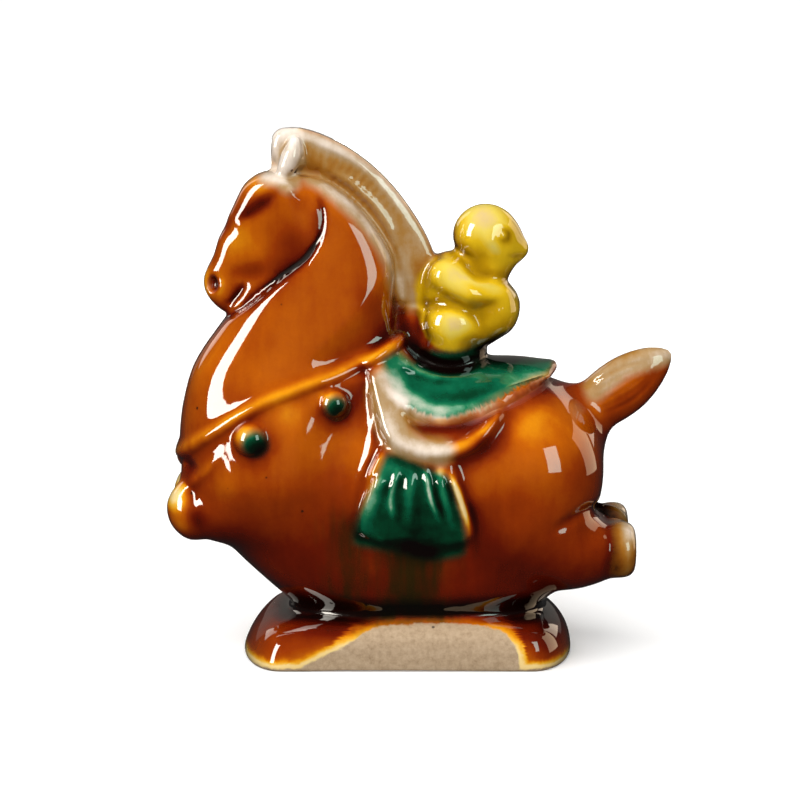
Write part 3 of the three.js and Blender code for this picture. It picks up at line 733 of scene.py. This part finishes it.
def with_monkey(f, p):
    monkey = joined(monkey_masses, p, 1.6 * SMALL_BLEND) - total(monkey_strokes, p)
    return join(f, monkey, 1.4 * SMALL_BLEND)


print("monkey:", len(monkey_masses), "masses and", len(monkey_strokes), "lines")

# %% [markdown]
# ## The whole casting
# All masses come together in one function. The two sides are mirror images, so it works
# with the distance from the middle plane, and a small rounding there keeps the fold between
# the sides from showing as a sharp line. Regions are only worked out where they can matter.

# %% The whole casting
FOLD = 0.4


def apply_where(f, mask, p, work):
    """Change a distance only for the points of a mask."""
    if mask.any():
        f[mask] = work(f[mask], p[:, mask])


def clay(points):
    """Distance to the whole figurine. Its two sides are alike."""
    x, across, z = points
    p = np.array([x, np.sqrt(across ** 2 + FOLD ** 2), z])
    f = join(trunk_and_neck(p), plinth(p), PLINTH_BLEND)
    apply_where(f, (z > 12) & (z < 70), p, with_legs)
    apply_where(f, (np.abs(f) < 6) & (x < 36) & (z > 22) & (z < 74), p, with_tack)
    for bell in bells:
        f = join(f, bell(p), SMALL_BLEND / 2)
    apply_where(f, (z > 64) & (x < 9), p, with_head)
    apply_where(f, (z > 56) & (x > -6), p, with_monkey)
    return np.maximum(f, -z)


# %% Slope of the clay


def downhill(points):
    """Distance to the clay and its slope at each point."""
    step = 0.02
    count = points.shape[1]
    moved = [points + step * np.eye(3)[:, i:i + 1] for i in range(3)]
    f = clay(np.concatenate([points] + moved, axis=1)).reshape(4, count)
    return f[0], (f[1:] - f[0]) / step


def facing(slope):
    """Directions straight out of the surface, one for each slope."""
    return slope / np.maximum(np.linalg.norm(slope, axis=0), 1e-6)


middle = np.array([[0.0], [0.0], [40.0]])
print("clay under the surface in the middle of the trunk, in mm:", -clay(middle).round(1))

# %% [markdown]
# ## Where each glaze lies
# The glazes were brushed on by zones: green on the saddle, cloth and bells, cream on the
# mane, tail tip and pads, yellow on the monkey, and bare clay low on the plinth. Below the
# cloth the green ran down over the belly and mixed with the amber. Each zone is a signed
# distance to its outline in millimetres, so its edge can be frayed later.

# %% Outlines of the glaze zones
green_saddle = outline([
    [-4.4, 63.6], [-3.4, 61], [-1.4, 57.7], [1.8, 54.7], [5, 53.2], [9.2, 52.9], [12.6, 53.9],
    [17.5, 55.9], [25.8, 59.4], [30.6, 60.8], [31, 68], [20, 68], [16.8, 66.6], [10, 64.6],
    [4.5, 64.6], [2, 62.8], [-1, 65],
])
green_cloth = outline([
    [-3.6, 45.4], [1.1, 44.4], [6.1, 42.2], [8.6, 41], [10.2, 36.8], [11.8, 31], [12, 24.6],
    [4.6, 23.6], [0, 24.8], [-4.4, 25.6], [-10.4, 26.8], [-8.6, 35], [-6, 40],
])
green_run = outline([
    [-7, 28], [-4.6, 21], [-5.4, 14], [-7.6, 9.2], [1, 8.4], [9, 9], [9.6, 12], [7, 16], [9, 22],
    [11, 27],
])
green_run_in_front = outline([
    [-14.6, 32], [-9.4, 32], [-9, 22], [-10.2, 13], [-12.4, 12.4], [-14.4, 20],
])
cream_pad = outline([
    [-7, 60.6], [-7.2, 54], [-4.4, 47.2], [0, 44.6], [5.4, 43.6], [7.6, 43.4], [9.6, 45],
    [9.8, 47.2], [8, 48.4], [4, 49], [1, 51], [8, 51.6], [14, 52.8], [18.5, 54.4], [19, 56.2],
    [10, 55.6], [3, 56], [0, 58.2], [-3.4, 62],
])
cream_tail = outline([
    [37.4, 57.6], [37.8, 54.4], [40, 53.8], [46, 58.4], [51.5, 60.2], [57.5, 62], [54, 66], [46, 64],
])
cream_hoof = outline([[43.8, 31], [43.4, 24], [43.6, 17], [50, 16], [50.5, 32]])
cream_brow = outline([
    [-29, 102], [-29.6, 99.6], [-26.4, 98.6], [-23.6, 97.2], [-21, 99.4], [-20, 103], [-24, 104],
])
yellow_monkey = outline([
    [2.4, 79.6], [2.2, 75], [3, 71], [4.2, 67.8], [6.5, 65.2], [10, 64.2], [14, 64.4], [17.5, 66],
    [26, 70], [30, 80], [30, 97], [9, 97], [10, 86], [7.4, 84.2], [4.6, 82.4],
])
bare_patch = outline([
    [-22.4, -3], [-21.4, 0.6], [-14.3, 4.6], [-7.1, 8.6], [0, 9.4], [7.3, 9.5], [19.4, 8.6],
    [22.6, 5.6], [23.7, 0.2], [24, -3],
])

# %% Put the zones together
GREEN_ON_BELL = 0.66
BARE_RIM = 0.7


def map_zones(points):
    """How far inside each glaze's zone every point is, negative outside."""
    x, across, z = points
    p = np.array([x, np.abs(across), z])
    green = -np.minimum(green_saddle(p), green_cloth(p))
    mane_zone = crest(p) - 0.3 - 1.2 * (x < -22)
    cream = [cream_pad(p), cream_tail(p), cream_hoof(p), cream_brow(p), mane_zone]
    for bell_x, bell_z, r in BELLS:
        gap = np.hypot(x - bell_x - 0.2 * r, z - bell_z + 0.12 * r)
        green = np.maximum(green, GREEN_ON_BELL * r - gap)
    return {
        "green": green,
        "run": -np.minimum(green_run(p), green_run_in_front(p)),
        "cream": -np.minimum.reduce(cream),
        "yellow": -yellow_monkey(p),
        "bare": np.maximum(-bare_patch(p), BARE_RIM - z),
    }


# %% [markdown]
# ## From solid to fine skin
# The surface could be sculpted on a subdivided copy of the solid, but its long thin
# triangles would crease. So a copy is merged and remeshed into small even squares, as a
# sculptor remeshes before working in detail. Each point is then slid along the slope of the
# clay until it lies on it. A little smoothing along the surface between the slides keeps the
# squares even, and the Decimate modifier takes triangles away where the surface is flat.

# %% Make the fine skin
VOXEL = 0.00036
LONGEST_STEP = 0.9
SKIN_TRIANGLES = 196000
BORDER_WIDTH = 1.1


def copy_of_solid():
    """A copy of the solid's mesh with its loose triangles merged."""
    mesh = NODE.data.copy()
    mesh.materials.clear()
    piece = bpy.data.objects.new("glazed_figurine", mesh)
    bpy.context.scene.collection.objects.link(piece)
    bpy.ops.object.select_all(action="DESELECT")
    piece.select_set(True)
    bpy.context.view_layer.objects.active = piece
    bpy.ops.object.mode_set(mode="EDIT")
    bpy.ops.mesh.select_all(action="SELECT")
    bpy.ops.mesh.remove_doubles(threshold=1e-6)
    bpy.ops.object.mode_set(mode="OBJECT")
    return piece


def remesh(piece, size):
    modifier = piece.modifiers.new("even squares", "REMESH")
    modifier.mode = "VOXEL"
    modifier.voxel_size = size
    bpy.ops.object.modifier_apply(modifier=modifier.name)


def points_of(mesh):
    flat = np.empty(len(mesh.vertices) * 3)
    mesh.vertices.foreach_get("co", flat)
    return flat.reshape(-1, 3).T / MM


def set_points(mesh, points):
    mesh.vertices.foreach_set("co", (points.T * MM).ravel())
    mesh.update()


def edges_of(mesh):
    ends = np.empty(len(mesh.edges) * 2, np.int32)
    mesh.edges.foreach_get("vertices", ends)
    return ends.reshape(-1, 2).T


# %% Slide and relax the points


def average_round(values, ends):
    """Each row's mean over the neighbours of every point."""
    count = values.shape[1]
    a, b = ends
    near = np.bincount(a, minlength=count) + np.bincount(b, minlength=count)
    out = np.empty_like(values)
    for i, row in enumerate(values):
        out[i] = np.bincount(a, row[b], count) + np.bincount(b, row[a], count)
    return out / near


def slide(points, rounds):
    """Move points onto the clay, never far in one step."""
    for _ in range(rounds):
        f, slope = downhill(points)
        size = np.maximum((slope ** 2).sum(axis=0), 0.05)
        points = points - slope * np.clip(f / size, -LONGEST_STEP, LONGEST_STEP)
    return points


def relax(points, ends):
    """Even out the points along the surface."""
    normal = facing(downhill(points)[1])
    move = average_round(points, ends) - points
    move -= normal * (normal * move).sum(axis=0)
    return points + 0.6 * move


def near_a_border(points):
    """Where two glazes meet: the triangles there stay small, so that the edge stays clean."""
    return np.min([np.abs(values) for values in map_zones(points).values()], axis=0) < BORDER_WIDTH


def thin_out(piece, goal, kept):
    """Merge triangles where the surface is flat, apart from the points that are kept."""
    triangles = sum(len(face.vertices) - 2 for face in piece.data.polygons)
    if triangles <= goal:
        return
    group = piece.vertex_groups.new(name="may be thinned")
    group.add(np.flatnonzero(~kept).tolist(), 1, "REPLACE")
    modifier = piece.modifiers.new("fewer triangles", "DECIMATE")
    modifier.ratio = goal / triangles
    modifier.use_collapse_triangulate = True
    modifier.vertex_group = group.name
    bpy.ops.object.modifier_apply(modifier=modifier.name)
    piece.vertex_groups.clear()


# %% Slide the skin onto the clay
skin = copy_of_solid()
remesh(skin, VOXEL)
print("even squares:", len(skin.data.vertices), "points")
ends = edges_of(skin.data)
points = slide(points_of(skin.data), 2)
for _ in range(2):
    points = slide(relax(points, ends), 1)
set_points(skin.data, points)
thin_out(skin, SKIN_TRIANGLES, near_a_border(points))
points = slide(points_of(skin.data), 1)
set_points(skin.data, points)
bpy.ops.object.shade_smooth()
print("fine skin:", len(skin.data.polygons), "faces")

# %% [markdown]
# Glaze is liquid in the kiln, so it fills corners and rounds edges. Averaging every point
# with its neighbours a few times does the same, and the directions that catch the light are
# averaged with them. The clay's own directions are kept apart, because the next step asks
# them where the hollows are.

# %% Let the glaze round the corners
SOFTENING_ROUNDS = 3


def softened(values, ends, rounds):
    """Values averaged with their neighbours, a few times over."""
    for _ in range(rounds):
        values = 0.5 * (values + average_round(values, ends))
    return values


clay_points = points
clay_normals = facing(downhill(points)[1])
ends = edges_of(skin.data)
set_points(skin.data, softened(clay_points, ends, SOFTENING_ROUNDS))
normals = facing(softened(clay_normals, ends, SOFTENING_ROUNDS + 1))
skin.data.normals_split_custom_set_from_vertices(normals.T)

# %% [markdown]
# ## How thick the glaze lies
# A running glaze collects in hollows, thins on ridges and slides down before it sets, and
# its colour follows its thickness: straw yellow where it is thin, then orange, then a deep
# red brown that is nearly black in a pool. The clay itself gives most of this. A little way
# out from a hollow the next surface is nearer than it should be, and a little way in from a
# ridge the far side is. Places where the brush left more or less are listed one by one.
# Lower down the colour is also made darker, partly for glaze that ran and partly as painted shade;
# faces turned down get painted shade and faces turned up painted light.

# %% Measure hollows and ridges
HOLLOW_STEPS = {"fine_hollow": (0.7, 1.5), "wide_hollow": (3.2, 6.5)}
RIDGE_STEPS = {"fine_ridge": (0.8, 1.6), "wide_ridge": (3.0,)}


def measure_relief(points, normal):
    found = {}
    for name, steps in (HOLLOW_STEPS | RIDGE_STEPS).items():
        out = 1 if name in HOLLOW_STEPS else -1
        nearer = [np.clip(1 - out * clay(points + out * normal * d) / d, 0, 1) for d in steps]
        found[name] = np.mean(nearer, axis=0)
    return found


relief = measure_relief(clay_points, clay_normals)
for name, values in relief.items():
    print(name, "mean", round(float(values.mean()), 3), "highest", round(float(values.max()), 3))


# %% Marks of the brush
# A spot is x, z, radius and how much thicker the glaze is there, thinner where it's negative.
MONKEY_SPOTS = [
    [16.2, 91.4, 6, -0.2], [10.3, 80.5, 5.6, -0.18], [10.6, 70.2, 6, -0.22],
    [17.8, 85.6, 2.4, -0.24], [18, 77.4, 3, -0.16], [16.6, 74.4, 4.4, 0.12],
    [15.4, 82.4, 3, 0.12], [23, 89, 4, 0.12], [20, 69, 5, 0.14], [20.4, 88.2, 2.4, 0.3],
    [20.2, 88.4, 1, -0.4],
]
SPOTS = [
    [-24, 54, 5, -0.14], [24, 52.4, 7, -0.16], [13.4, 38, 5, -0.1], [-36.7, 39.6, 6, -0.1],
    [-27, 62, 8, -0.06], [-33, 87.5, 6, -0.16], [-30.4, 99, 4, -0.16], [-47.6, 35.4, 4.6, -0.62],
    [-46.6, 29.6, 3.6, -0.24], [47, 27.4, 3.4, -0.34], [-23.6, 86.6, 6.4, 0.22],
    [-31, 81, 4, 0.1], [-2.4, 70, 7, 0.04], [0.6, 68, 4, 0.2], [38, 41, 9, 0.1],
    [-36, 28, 10, 0.08], [-42.6, 31, 3, 0.2], [-14, 38, 8, 0.05], [40.4, 51.8, 4.5, -0.2],
    [2.4, 30, 9, 0.14], [29, 6, 6, 0.14], [15, 47.8, 3.4, 0.14], [21, 62.4, 4, 0.16],
    [7.1, 42.4, 1.7, -0.5], [-1.4, 60.4, 3.6, -0.27], [7.2, 52.7, 3, -0.26],
]
HEAD_AND_MANE_LINES = [
    stroke([[-34.6, 92], [-31, 94.2], [-26.6, 97]], 0.42, 2),
    stroke([[-17.2, 95.6], [-17.2, 89], [-21.4, 82.4]], 0.3, 1.1),
    stroke([[-20, 84], [-24.6, 80.4], [-29, 76.6], [-34, 72.8]], 0.35, 1.8),
    stroke([[-33.2, 78.2], [-36.6, 73.8]], 0.2, 1.3),
    stroke([[-38, 80.4], [-32.9, 80.8], [-29, 82], [-25, 85]], 0.16, 2.6),
    stroke([[-24, 110], [-27, 107], [-26.9, 101.4]], -0.38, 3.6, 0),
    stroke([[-22, 108], [-24.6, 101]], -0.34, 3, 0),
    stroke([[-20.5, 101.3], [-12.3, 97.4], [-6.2, 91], [-1.5, 83], [0.2, 76]], -0.26, 2.6),
    stroke([[-18, 105.4], [-8, 100], [-1, 92], [3, 82]], 0.1, 3.4),
    stroke([[-22, 108], [-12, 105.4], [-3, 98.6], [3, 89]], -0.2, 2.6),
    stroke([[-8, 76], [-5.6, 70], [-6, 66.4]], 0.1, 4, 0),
]
TACK_LINES = [
    stroke([[-4, 60.2], [0, 56.4], [4, 53.6], [8, 52.8], [12, 53.2]], -0.32, 2.7),
    stroke([[8, 53.2], [12, 53.4], [17, 54.9], [23, 57.2]], -0.16, 2.6),
    stroke([[-6.4, 57], [-4, 49], [2, 46], [8, 45.6]], -0.16, 3),
    stroke([[14, 66], [21, 64.4], [29, 62.6]], 0.3, 4.4, 0),
    stroke([[9, 56.4], [14, 57.2], [21, 59.6]], 0.16, 2.6),
    stroke([[0.6, 66], [4.2, 62.6], [9.3, 61], [15.5, 61.8]], 0.5, 2),
    stroke([[-4.4, 26.6], [0, 26], [4.6, 25.2], [9.6, 25.8]], 0.3, 3.4, 0.5),
    stroke([[-6.2, 42], [-8.2, 36], [-9.2, 31]], -0.3, 0.9),
    stroke([[9.6, 42], [11.4, 36.6], [13.4, 30]], -0.24, 1),
    stroke(STRAP, -0.08, 1.8, 0),
]
REAR_LINES = [
    stroke([[39.6, 50.6], [46.6, 54], [53, 60]], 0.1, 3.4, 0),
    stroke([[44.4, 30], [44, 24], [44, 18]], 0.25, 2),
]
BRUSHED = [dot(*spot) for spot in MONKEY_SPOTS + SPOTS]
BRUSHED += HEAD_AND_MANE_LINES + TACK_LINES + REAR_LINES

# %% Thin glaze on the pleats and bells, thick beside them
NARROW_PLEAT = 1.4
THIN_ON_NARROW_PLEAT = -0.3
THIN_ON_WIDE_PLEAT = -0.16
BESIDE_PLEAT = np.array([1.1, 0])
for line, half in zip(PLEAT_LINES, PLEAT_HALVES):
    on_top = THIN_ON_NARROW_PLEAT if half < NARROW_PLEAT else THIN_ON_WIDE_PLEAT
    BRUSHED.append(stroke(line, on_top, 0.6 * half))
    BRUSHED.append(stroke(line + BESIDE_PLEAT * half, 0.22, 0.8))
for x, z, r in BELLS:
    BRUSHED.append(dot(x - 0.6 * r, z + 0.6 * r, r, -0.24))
    BRUSHED.append(dot(x + 0.3 * r, z - 0.3 * r, r, 0.4))


# %% Thickness of the glaze, with painted shade and painted light
USUAL_THICKNESS = 0.465
MOST_POOLING = 0.42
FINE_POOLING = 0.75
WIDE_POOLING = 0.35
FINE_RIDGE_THINNER = 0.45
WIDE_RIDGE_THINNER = 0.1
# Darker low down: partly glaze that ran down, partly painted shade.
LOW_THICKER_AND_SHADED = 0.2
LOW = 16
LOW_WIDTH = 32
# Painted light on faces turned up, painted shade on faces turned down.
FACING_UP_PAINTED_LIGHT = 0.06
FACING_DOWN_PAINTED_SHADE = 0.08
PLINTH_THINNER = 0.17
WAIST_THICKER = 0.14
COMB_POOLING = 1.8


def glaze_thickness_and_painted_shading(points, normal, relief):
    """From 0, glaze barely covering the clay, to 1, pooled; plus painted shade low and facing down,
    painted light facing up.
    """
    z = points[2]
    pooled = FINE_POOLING * relief["fine_hollow"] + WIDE_POOLING * relief["wide_hollow"]
    thick = USUAL_THICKNESS + np.minimum(pooled, MOST_POOLING)
    thick -= FINE_RIDGE_THINNER * relief["fine_ridge"] + WIDE_RIDGE_THINNER * relief["wide_ridge"]
    # Darker low down: partly glaze that ran down, partly painted shade.
    thick += LOW_THICKER_AND_SHADED * (1 - ease((z - LOW) / LOW_WIDTH))
    # Painted light on faces turned up, painted shade on faces turned down.
    thick -= FACING_UP_PAINTED_LIGHT * np.maximum(normal[2], 0)
    thick += FACING_DOWN_PAINTED_SHADE * np.maximum(-normal[2], 0)
    thick -= PLINTH_THINNER * (1 - ease((z - 5) / 5))
    thick += WAIST_THICKER * swell((z - 12) / 4)
    thick += COMB_POOLING * comb(points, crest(points))
    return thick + total(BRUSHED, points)


# thick holds the glaze thickness together with the painted shade and painted light.
thick = glaze_thickness_and_painted_shading(clay_points, clay_normals, relief)
thick = softened(thick[None], ends, 2 * SOFTENING_ROUNDS)[0]
print("glaze thickness, low to high:", np.percentile(thick, [2, 50, 98]).round(2))

# %% Store the zones and the thickness on the mesh
DULL_AWAY_FROM_HEAD = 0.6
HEAD_ABOVE = 68
HEAD_LEFT_OF = -8
HEAD_EDGE = 6
zones = map_zones(clay_points)
zones["thick"] = thick
at_the_head = ease((clay_points[2] - HEAD_ABOVE) / HEAD_EDGE)
at_the_head *= ease((HEAD_LEFT_OF - clay_points[0]) / HEAD_EDGE)
share = DULL_AWAY_FROM_HEAD + (1 - DULL_AWAY_FROM_HEAD) * at_the_head
zones["crevice"] = softened((relief["fine_hollow"] * share)[None], ends, SOFTENING_ROUNDS)[0]
for name, values in zones.items():
    attribute = skin.data.attributes.new(name, "FLOAT", "POINT")
    attribute.data.foreach_set("value", np.clip(values, -12, 12).astype(np.float32))
    print(name, "is above zero at", int((values > 0).sum()), "points")


# %% [markdown]
# ## Shader sums as plain expressions
# A glaze is a long sum of noises and masks. Wrapping a socket in a small class lets those
# sums be written as arithmetic, and one method adds every other kind of node.

# %% Helpers for node trees


def colour(code):
    """A colour written as on a paint chart, #RRGGBB, as linear light."""
    parts = [int(code[i:i + 2], 16) / 255 for i in (1, 3, 5)]
    return (*[v / 12.92 if v <= 0.04045 else ((v + 0.055) / 1.055) ** 2.4 for v in parts], 1)


class Value:
    """A number that varies over the surface, usable in plain arithmetic."""

    def __init__(self, finish, socket):
        self.finish = finish
        self.socket = socket

    def math(self, operation, *others, clamp=False):
        settings = {"operation": operation, "use_clamp": clamp}
        sockets = dict(enumerate((self, *others)))
        return self.finish.add("ShaderNodeMath", settings, sockets)

    def __add__(self, other):
        return self.math("ADD", other)

    def __sub__(self, other):
        return self.math("SUBTRACT", other)

    def __mul__(self, other):
        return self.math("MULTIPLY", other)

    def __rsub__(self, other):
        return self.finish.number(other).math("SUBTRACT", self)

    __radd__ = __add__
    __rmul__ = __mul__

    def held(self):
        return self.math("ADD", 0, clamp=True)

    def rises(self, low, high):
        """0 below low, 1 above high, with a soft step between."""
        settings = {"interpolation_type": "SMOOTHSTEP"}
        sockets = {"Value": self, "From Min": low, "From Max": high}
        return self.finish.add("ShaderNodeMapRange", settings, sockets)


# %% One method that adds any node


class Finish:
    """A material's node tree, with one method that adds any node."""

    def __init__(self, name):
        self.material = bpy.data.materials.new(name)
        self.material.use_nodes = True
        self.tree = self.material.node_tree
        self.tree.nodes.clear()

    def add(self, kind, settings=None, sockets=None, output=0):
        node = self.tree.nodes.new(kind)
        for name, value in (settings or {}).items():
            if name == "stops":
                self.set_stops(node.color_ramp, value)
            else:
                setattr(node, name, value)
        for name, value in (sockets or {}).items():
            socket = node.inputs[name]
            if isinstance(value, Value):
                self.tree.links.new(value.socket, socket)
            else:
                socket.default_value = value
        return Value(self, node.outputs[output]) if len(node.outputs) else node

    def set_stops(self, ramp, stops):
        while len(ramp.elements) < len(stops):
            ramp.elements.new(1)
        for element, (place, code) in zip(ramp.elements, stops):
            element.position = place
            element.color = colour(code)

    def number(self, value):
        return self.add("ShaderNodeMath", {"operation": "ADD"}, {0: value, 1: 0})

    def field(self, name):
        return self.add("ShaderNodeAttribute", {"attribute_name": name}, output="Fac")

    def noise(self, size_mm, detail=3, rough=0.5, stretch=(1, 1, 1), shift=0.0):
        """Noise from 0 to 1 whose blotches are about a size in millimetres."""
        scale = [1 / (size_mm * MM * s) for s in stretch]
        place = self.add("ShaderNodeTexCoord", output="Object")
        moved = self.add("ShaderNodeMapping", None,
                         {"Vector": place, "Scale": scale, "Location": (shift, shift, shift)})
        return self.add("ShaderNodeTexNoise", None,
                        {"Vector": moved, "Scale": 1, "Detail": detail, "Roughness": rough})

    def cells(self, size_mm):
        """Distance to the nearest of many scattered spots, as a share of their spacing."""
        place = self.add("ShaderNodeTexCoord", output="Object")
        return self.add("ShaderNodeTexVoronoi", None, {"Vector": place, "Scale": 1 / (size_mm * MM)})

    def ramp(self, value, stops):
        return self.add("ShaderNodeValToRGB", {"stops": stops}, {"Fac": value.held()})

    def blend(self, mask, under, over):
        """Two colours, the second laid over the first where the mask is 1."""
        return self.add("ShaderNodeMix", {"data_type": "RGBA"}, {0: mask, 6: under, 7: over}, output=2)


# %% [markdown]
# ## The glazes
# All the glazes are one glassy coat, so they share one material. Each has its own ramp from
# thin to thick, read with the same thickness, and the zones choose between them with a
# frayed, slightly run edge. Slow noise makes the broad drift of colour, a stretched noise
# the runs, and a fine one the specks. The bump is kept very small: real glaze is liquid
# smooth, and only its highlights waver a little. A tight crevice, above all the groove under
# the jaw, faces its own dark wall and mirrors nothing bright, so the gloss is less there.

# %% Glaze the figurine


def make_glaze():
    glaze = Finish("glazed_ceramic")
    cloudy = glaze.noise(11, 3, 0.5) - 0.5
    mottled = glaze.noise(2.6, 4, 0.6) - 0.5
    specks = glaze.noise(0.5, 2, 0.6) - 0.5
    runs = glaze.noise(2.2, 3, 0.55, stretch=(1, 1, 7)) - 0.5
    # The thick field carries painted shade and painted light as well as glaze thickness.
    thick = glaze.field("thick") + cloudy * 0.14 + mottled * 0.06 + runs * 0.07 + specks * 0.03
    fray = mottled * 1.4 + runs * 0.3
    bare_edge = glaze.field("bare") + fray
    plinth_thin = bare_edge.rises(-2.4, 0)
    thick = thick - plinth_thin * 0.5

    amber = glaze.ramp(thick, [
        (0, "#EFCF8A"), (0.12, "#EBB43C"), (0.28, "#DB8C0C"), (0.42, "#B65804"),
        (0.55, "#8E3303"), (0.7, "#631502"), (0.85, "#370702"), (1, "#100201"),
    ])
    pale = glaze.ramp(thick + mottled * 0.2 + runs * 0.16, [
        (0, "#F5E8DA"), (0.25, "#D6C4B0"), (0.45, "#AC8E66"), (0.6, "#A0743A"), (0.72, "#965F1C"),
        (0.86, "#80460C"), (1, "#3A1404"),
    ])
    yellow = glaze.ramp(thick, [
        (0, "#CFB798"), (0.2, "#CDAF82"), (0.3, "#E0C654"), (0.44, "#E2B81A"), (0.62, "#B38806"),
        (0.82, "#745302"), (1, "#3A2A02"),
    ])
    green = glaze.ramp(thick + mottled * 0.24, [
        (0, "#D2CFBE"), (0.14, "#A3B49C"), (0.26, "#5C9473"), (0.36, "#1B704A"), (0.48, "#06573A"),
        (0.62, "#043A22"), (0.8, "#03190C"), (1, "#0A0302"),
    ])
    olive = glaze.ramp(thick, [(0, "#5C6A2C"), (0.4, "#3A3A10"), (0.7, "#1E1D04"), (1, "#060602")])
    clay_grain = glaze.noise(1.1, 5, 0.7)
    bare = glaze.ramp(clay_grain, [(0.25, "#8E7558"), (0.5, "#A99072"), (0.75, "#B8A084")])

    body = glaze.blend((glaze.field("cream") + fray).rises(-1.3, 1.3), amber, pale)
    body = glaze.blend((glaze.field("yellow") + fray * 0.6).rises(-0.6, 0.8), body, yellow)
    drips = glaze.noise(1.8, 1, 0.5, stretch=(1, 1, 9), shift=0.4) - 0.5
    body = glaze.blend((glaze.field("run") + drips * 9).rises(-4, 6) * 0.9, body, olive)
    body = glaze.blend((glaze.field("green") + fray * 0.5).rises(-1.2, 1), body, green)
    no_glaze = bare_edge.rises(-0.2, 0.3)
    body = glaze.blend(no_glaze, body, bare)
    pinholes = 1 - glaze.cells(7).rises(0.035, 0.06)
    body = glaze.blend(pinholes * 0.8, body, colour("#2A1206"))
    in_a_crevice = glaze.field("crevice").rises(0.2, 0.5)

    ripple = glaze.noise(3.5, 2, 0.5) * 0.5 + glaze.noise(1.2, 2, 0.5) * 0.1
    grain = clay_grain * no_glaze
    height = ripple + grain * 0.4 - no_glaze * 0.6
    bump = glaze.add("ShaderNodeBump", None, {"Strength": 0.5, "Distance": 0.00012, "Height": height})
    shader = glaze.add("ShaderNodeBsdfPrincipled", None, {
        "Base Color": body,
        "Roughness": 0.05 + no_glaze * 0.75 + in_a_crevice * 0.8,
        "Coat Weight": (1 - no_glaze) * (1 - in_a_crevice),
        "Coat Roughness": 0.015,
        "IOR": 1.5,
        "Normal": bump,
    })
    glaze.add("ShaderNodeOutputMaterial", None, {"Surface": shader})
    return glaze.material


# %% Put the glaze on, and name what the skin stands for
skin.data.materials.append(make_glaze())
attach(skin, "root")
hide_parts("horse_figurine")
print("glaze nodes:", len(skin.data.materials[0].node_tree.nodes))

# %% [markdown]
# ## Floor and lights
# The floor is a plain pale sheet. A glossy glaze is a mirror, so the lights are placed by
# what should show in it: a softbox to the left, a window to the right, a pale wall further
# round, and a weaker set behind for the far side. They only light the reflections. The even
# light that shows the colours is a broad sun from the upper left and two weak fills, in
# front and behind, which stay out of the mirror.

# %% Floor and lights
PAPER_GLOW = 0.16


def make_floor():
    bpy.ops.object.select_all(action="DESELECT")
    bpy.ops.mesh.primitive_plane_add(size=60, location=(0, 0, 0))
    floor = bpy.context.object
    floor.name = "studio_floor"
    paper = Finish("pale_paper")
    tone = paper.ramp(paper.noise(60, 2, 0.5), [(0.3, "#F4F3F1"), (0.7, "#F7F6F5")])
    shader = paper.add("ShaderNodeBsdfPrincipled", None, {
        "Base Color": tone,
        "Roughness": 0.9,
        "Emission Color": colour("#FFFFFF"),
        "Emission Strength": PAPER_GLOW,
    })
    paper.add("ShaderNodeOutputMaterial", None, {"Surface": shader})
    floor.data.materials.append(paper.material)
    floor.visible_glossy = False
    floor.visible_diffuse = False
    floor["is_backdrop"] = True
    return floor


def make_light(name, kind, azimuth, elevation, distance, energy, tint):
    data = bpy.data.lights.new(name, kind)
    data.energy = energy
    data.color = colour(tint)[:3]
    light = bpy.data.objects.new(name, data)
    bpy.context.scene.collection.objects.link(light)
    aim(light, azimuth, elevation, distance)
    return light


def mirror_light(name, azimuth, elevation, distance, width, height, brightness, tint):
    """A rectangle that shows in the glaze and lights nothing else."""
    energy = brightness * math.pi * width * height
    light = make_light(name, "AREA", azimuth, elevation, distance, energy, tint)
    light.data.shape = "RECTANGLE"
    light.data.size, light.data.size_y = width, height
    light.visible_diffuse = False
    light.visible_camera = False
    return light


# %% Place the floor and the lights
make_floor()
mirror_light("softbox", -56, 20, 1.0, 0.36, 0.75, 14, "#FFF8EC")
mirror_light("window", 38, 20, 1.2, 0.4, 0.64, 4.6, "#D2EFE2")
mirror_light("pale_wall", 108, 14, 1.0, 0.6, 0.7, 2, "#EBCDA8")
mirror_light("backdrop", 180, 22, 1.5, 2.4, 1.2, 0.1, "#FFF6EA")
mirror_light("back_softbox", 225, 30, 1.1, 0.35, 0.7, 1.3, "#FFF8EC")
mirror_light("back_window", 140, 20, 1.1, 0.4, 0.6, 1.4, "#F3DCC4")

sun = make_light("broad_sun", "SUN", -35, 60, 1.0, 3.7, "#FFFFFF")
sun.data.angle = math.radians(90)
sun.visible_glossy = False
fill = make_light("front_fill", "AREA", 5, 12, 1.5, 16, "#FFFFFF")
back_fill = make_light("back_fill", "AREA", 185, 12, 1.5, 16, "#FFFFFF")
for light in (fill, back_fill):
    light.data.size = 1.0
    light.visible_glossy = False
    light.visible_camera = False


def make_world():
    """A pale room to look at, which is dim for all that isn't seen directly."""
    world = bpy.data.worlds.new("pale_room")
    world.use_nodes = True
    tree = world.node_tree
    background = tree.nodes["Background"]
    path = tree.nodes.new("ShaderNodeLightPath")
    brightness = tree.nodes.new("ShaderNodeMapRange")
    brightness.inputs["To Min"].default_value = 0.02
    brightness.inputs["To Max"].default_value = 0.98
    tree.links.new(path.outputs["Is Camera Ray"], brightness.inputs["Value"])
    tree.links.new(brightness.outputs["Result"], background.inputs["Strength"])
    background.inputs["Color"].default_value = (1, 0.99, 0.98, 1)
    bpy.context.scene.world = world


make_world()
bpy.context.scene.view_settings.view_transform = "Standard"
print("lights:", [light.name for light in bpy.data.lights])

# %% Print the dressed box and finish
dressed = [list(corner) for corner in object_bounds()]
print("dressed, in mm:", [[round(v / MM, 1) for v in corner] for corner in dressed])
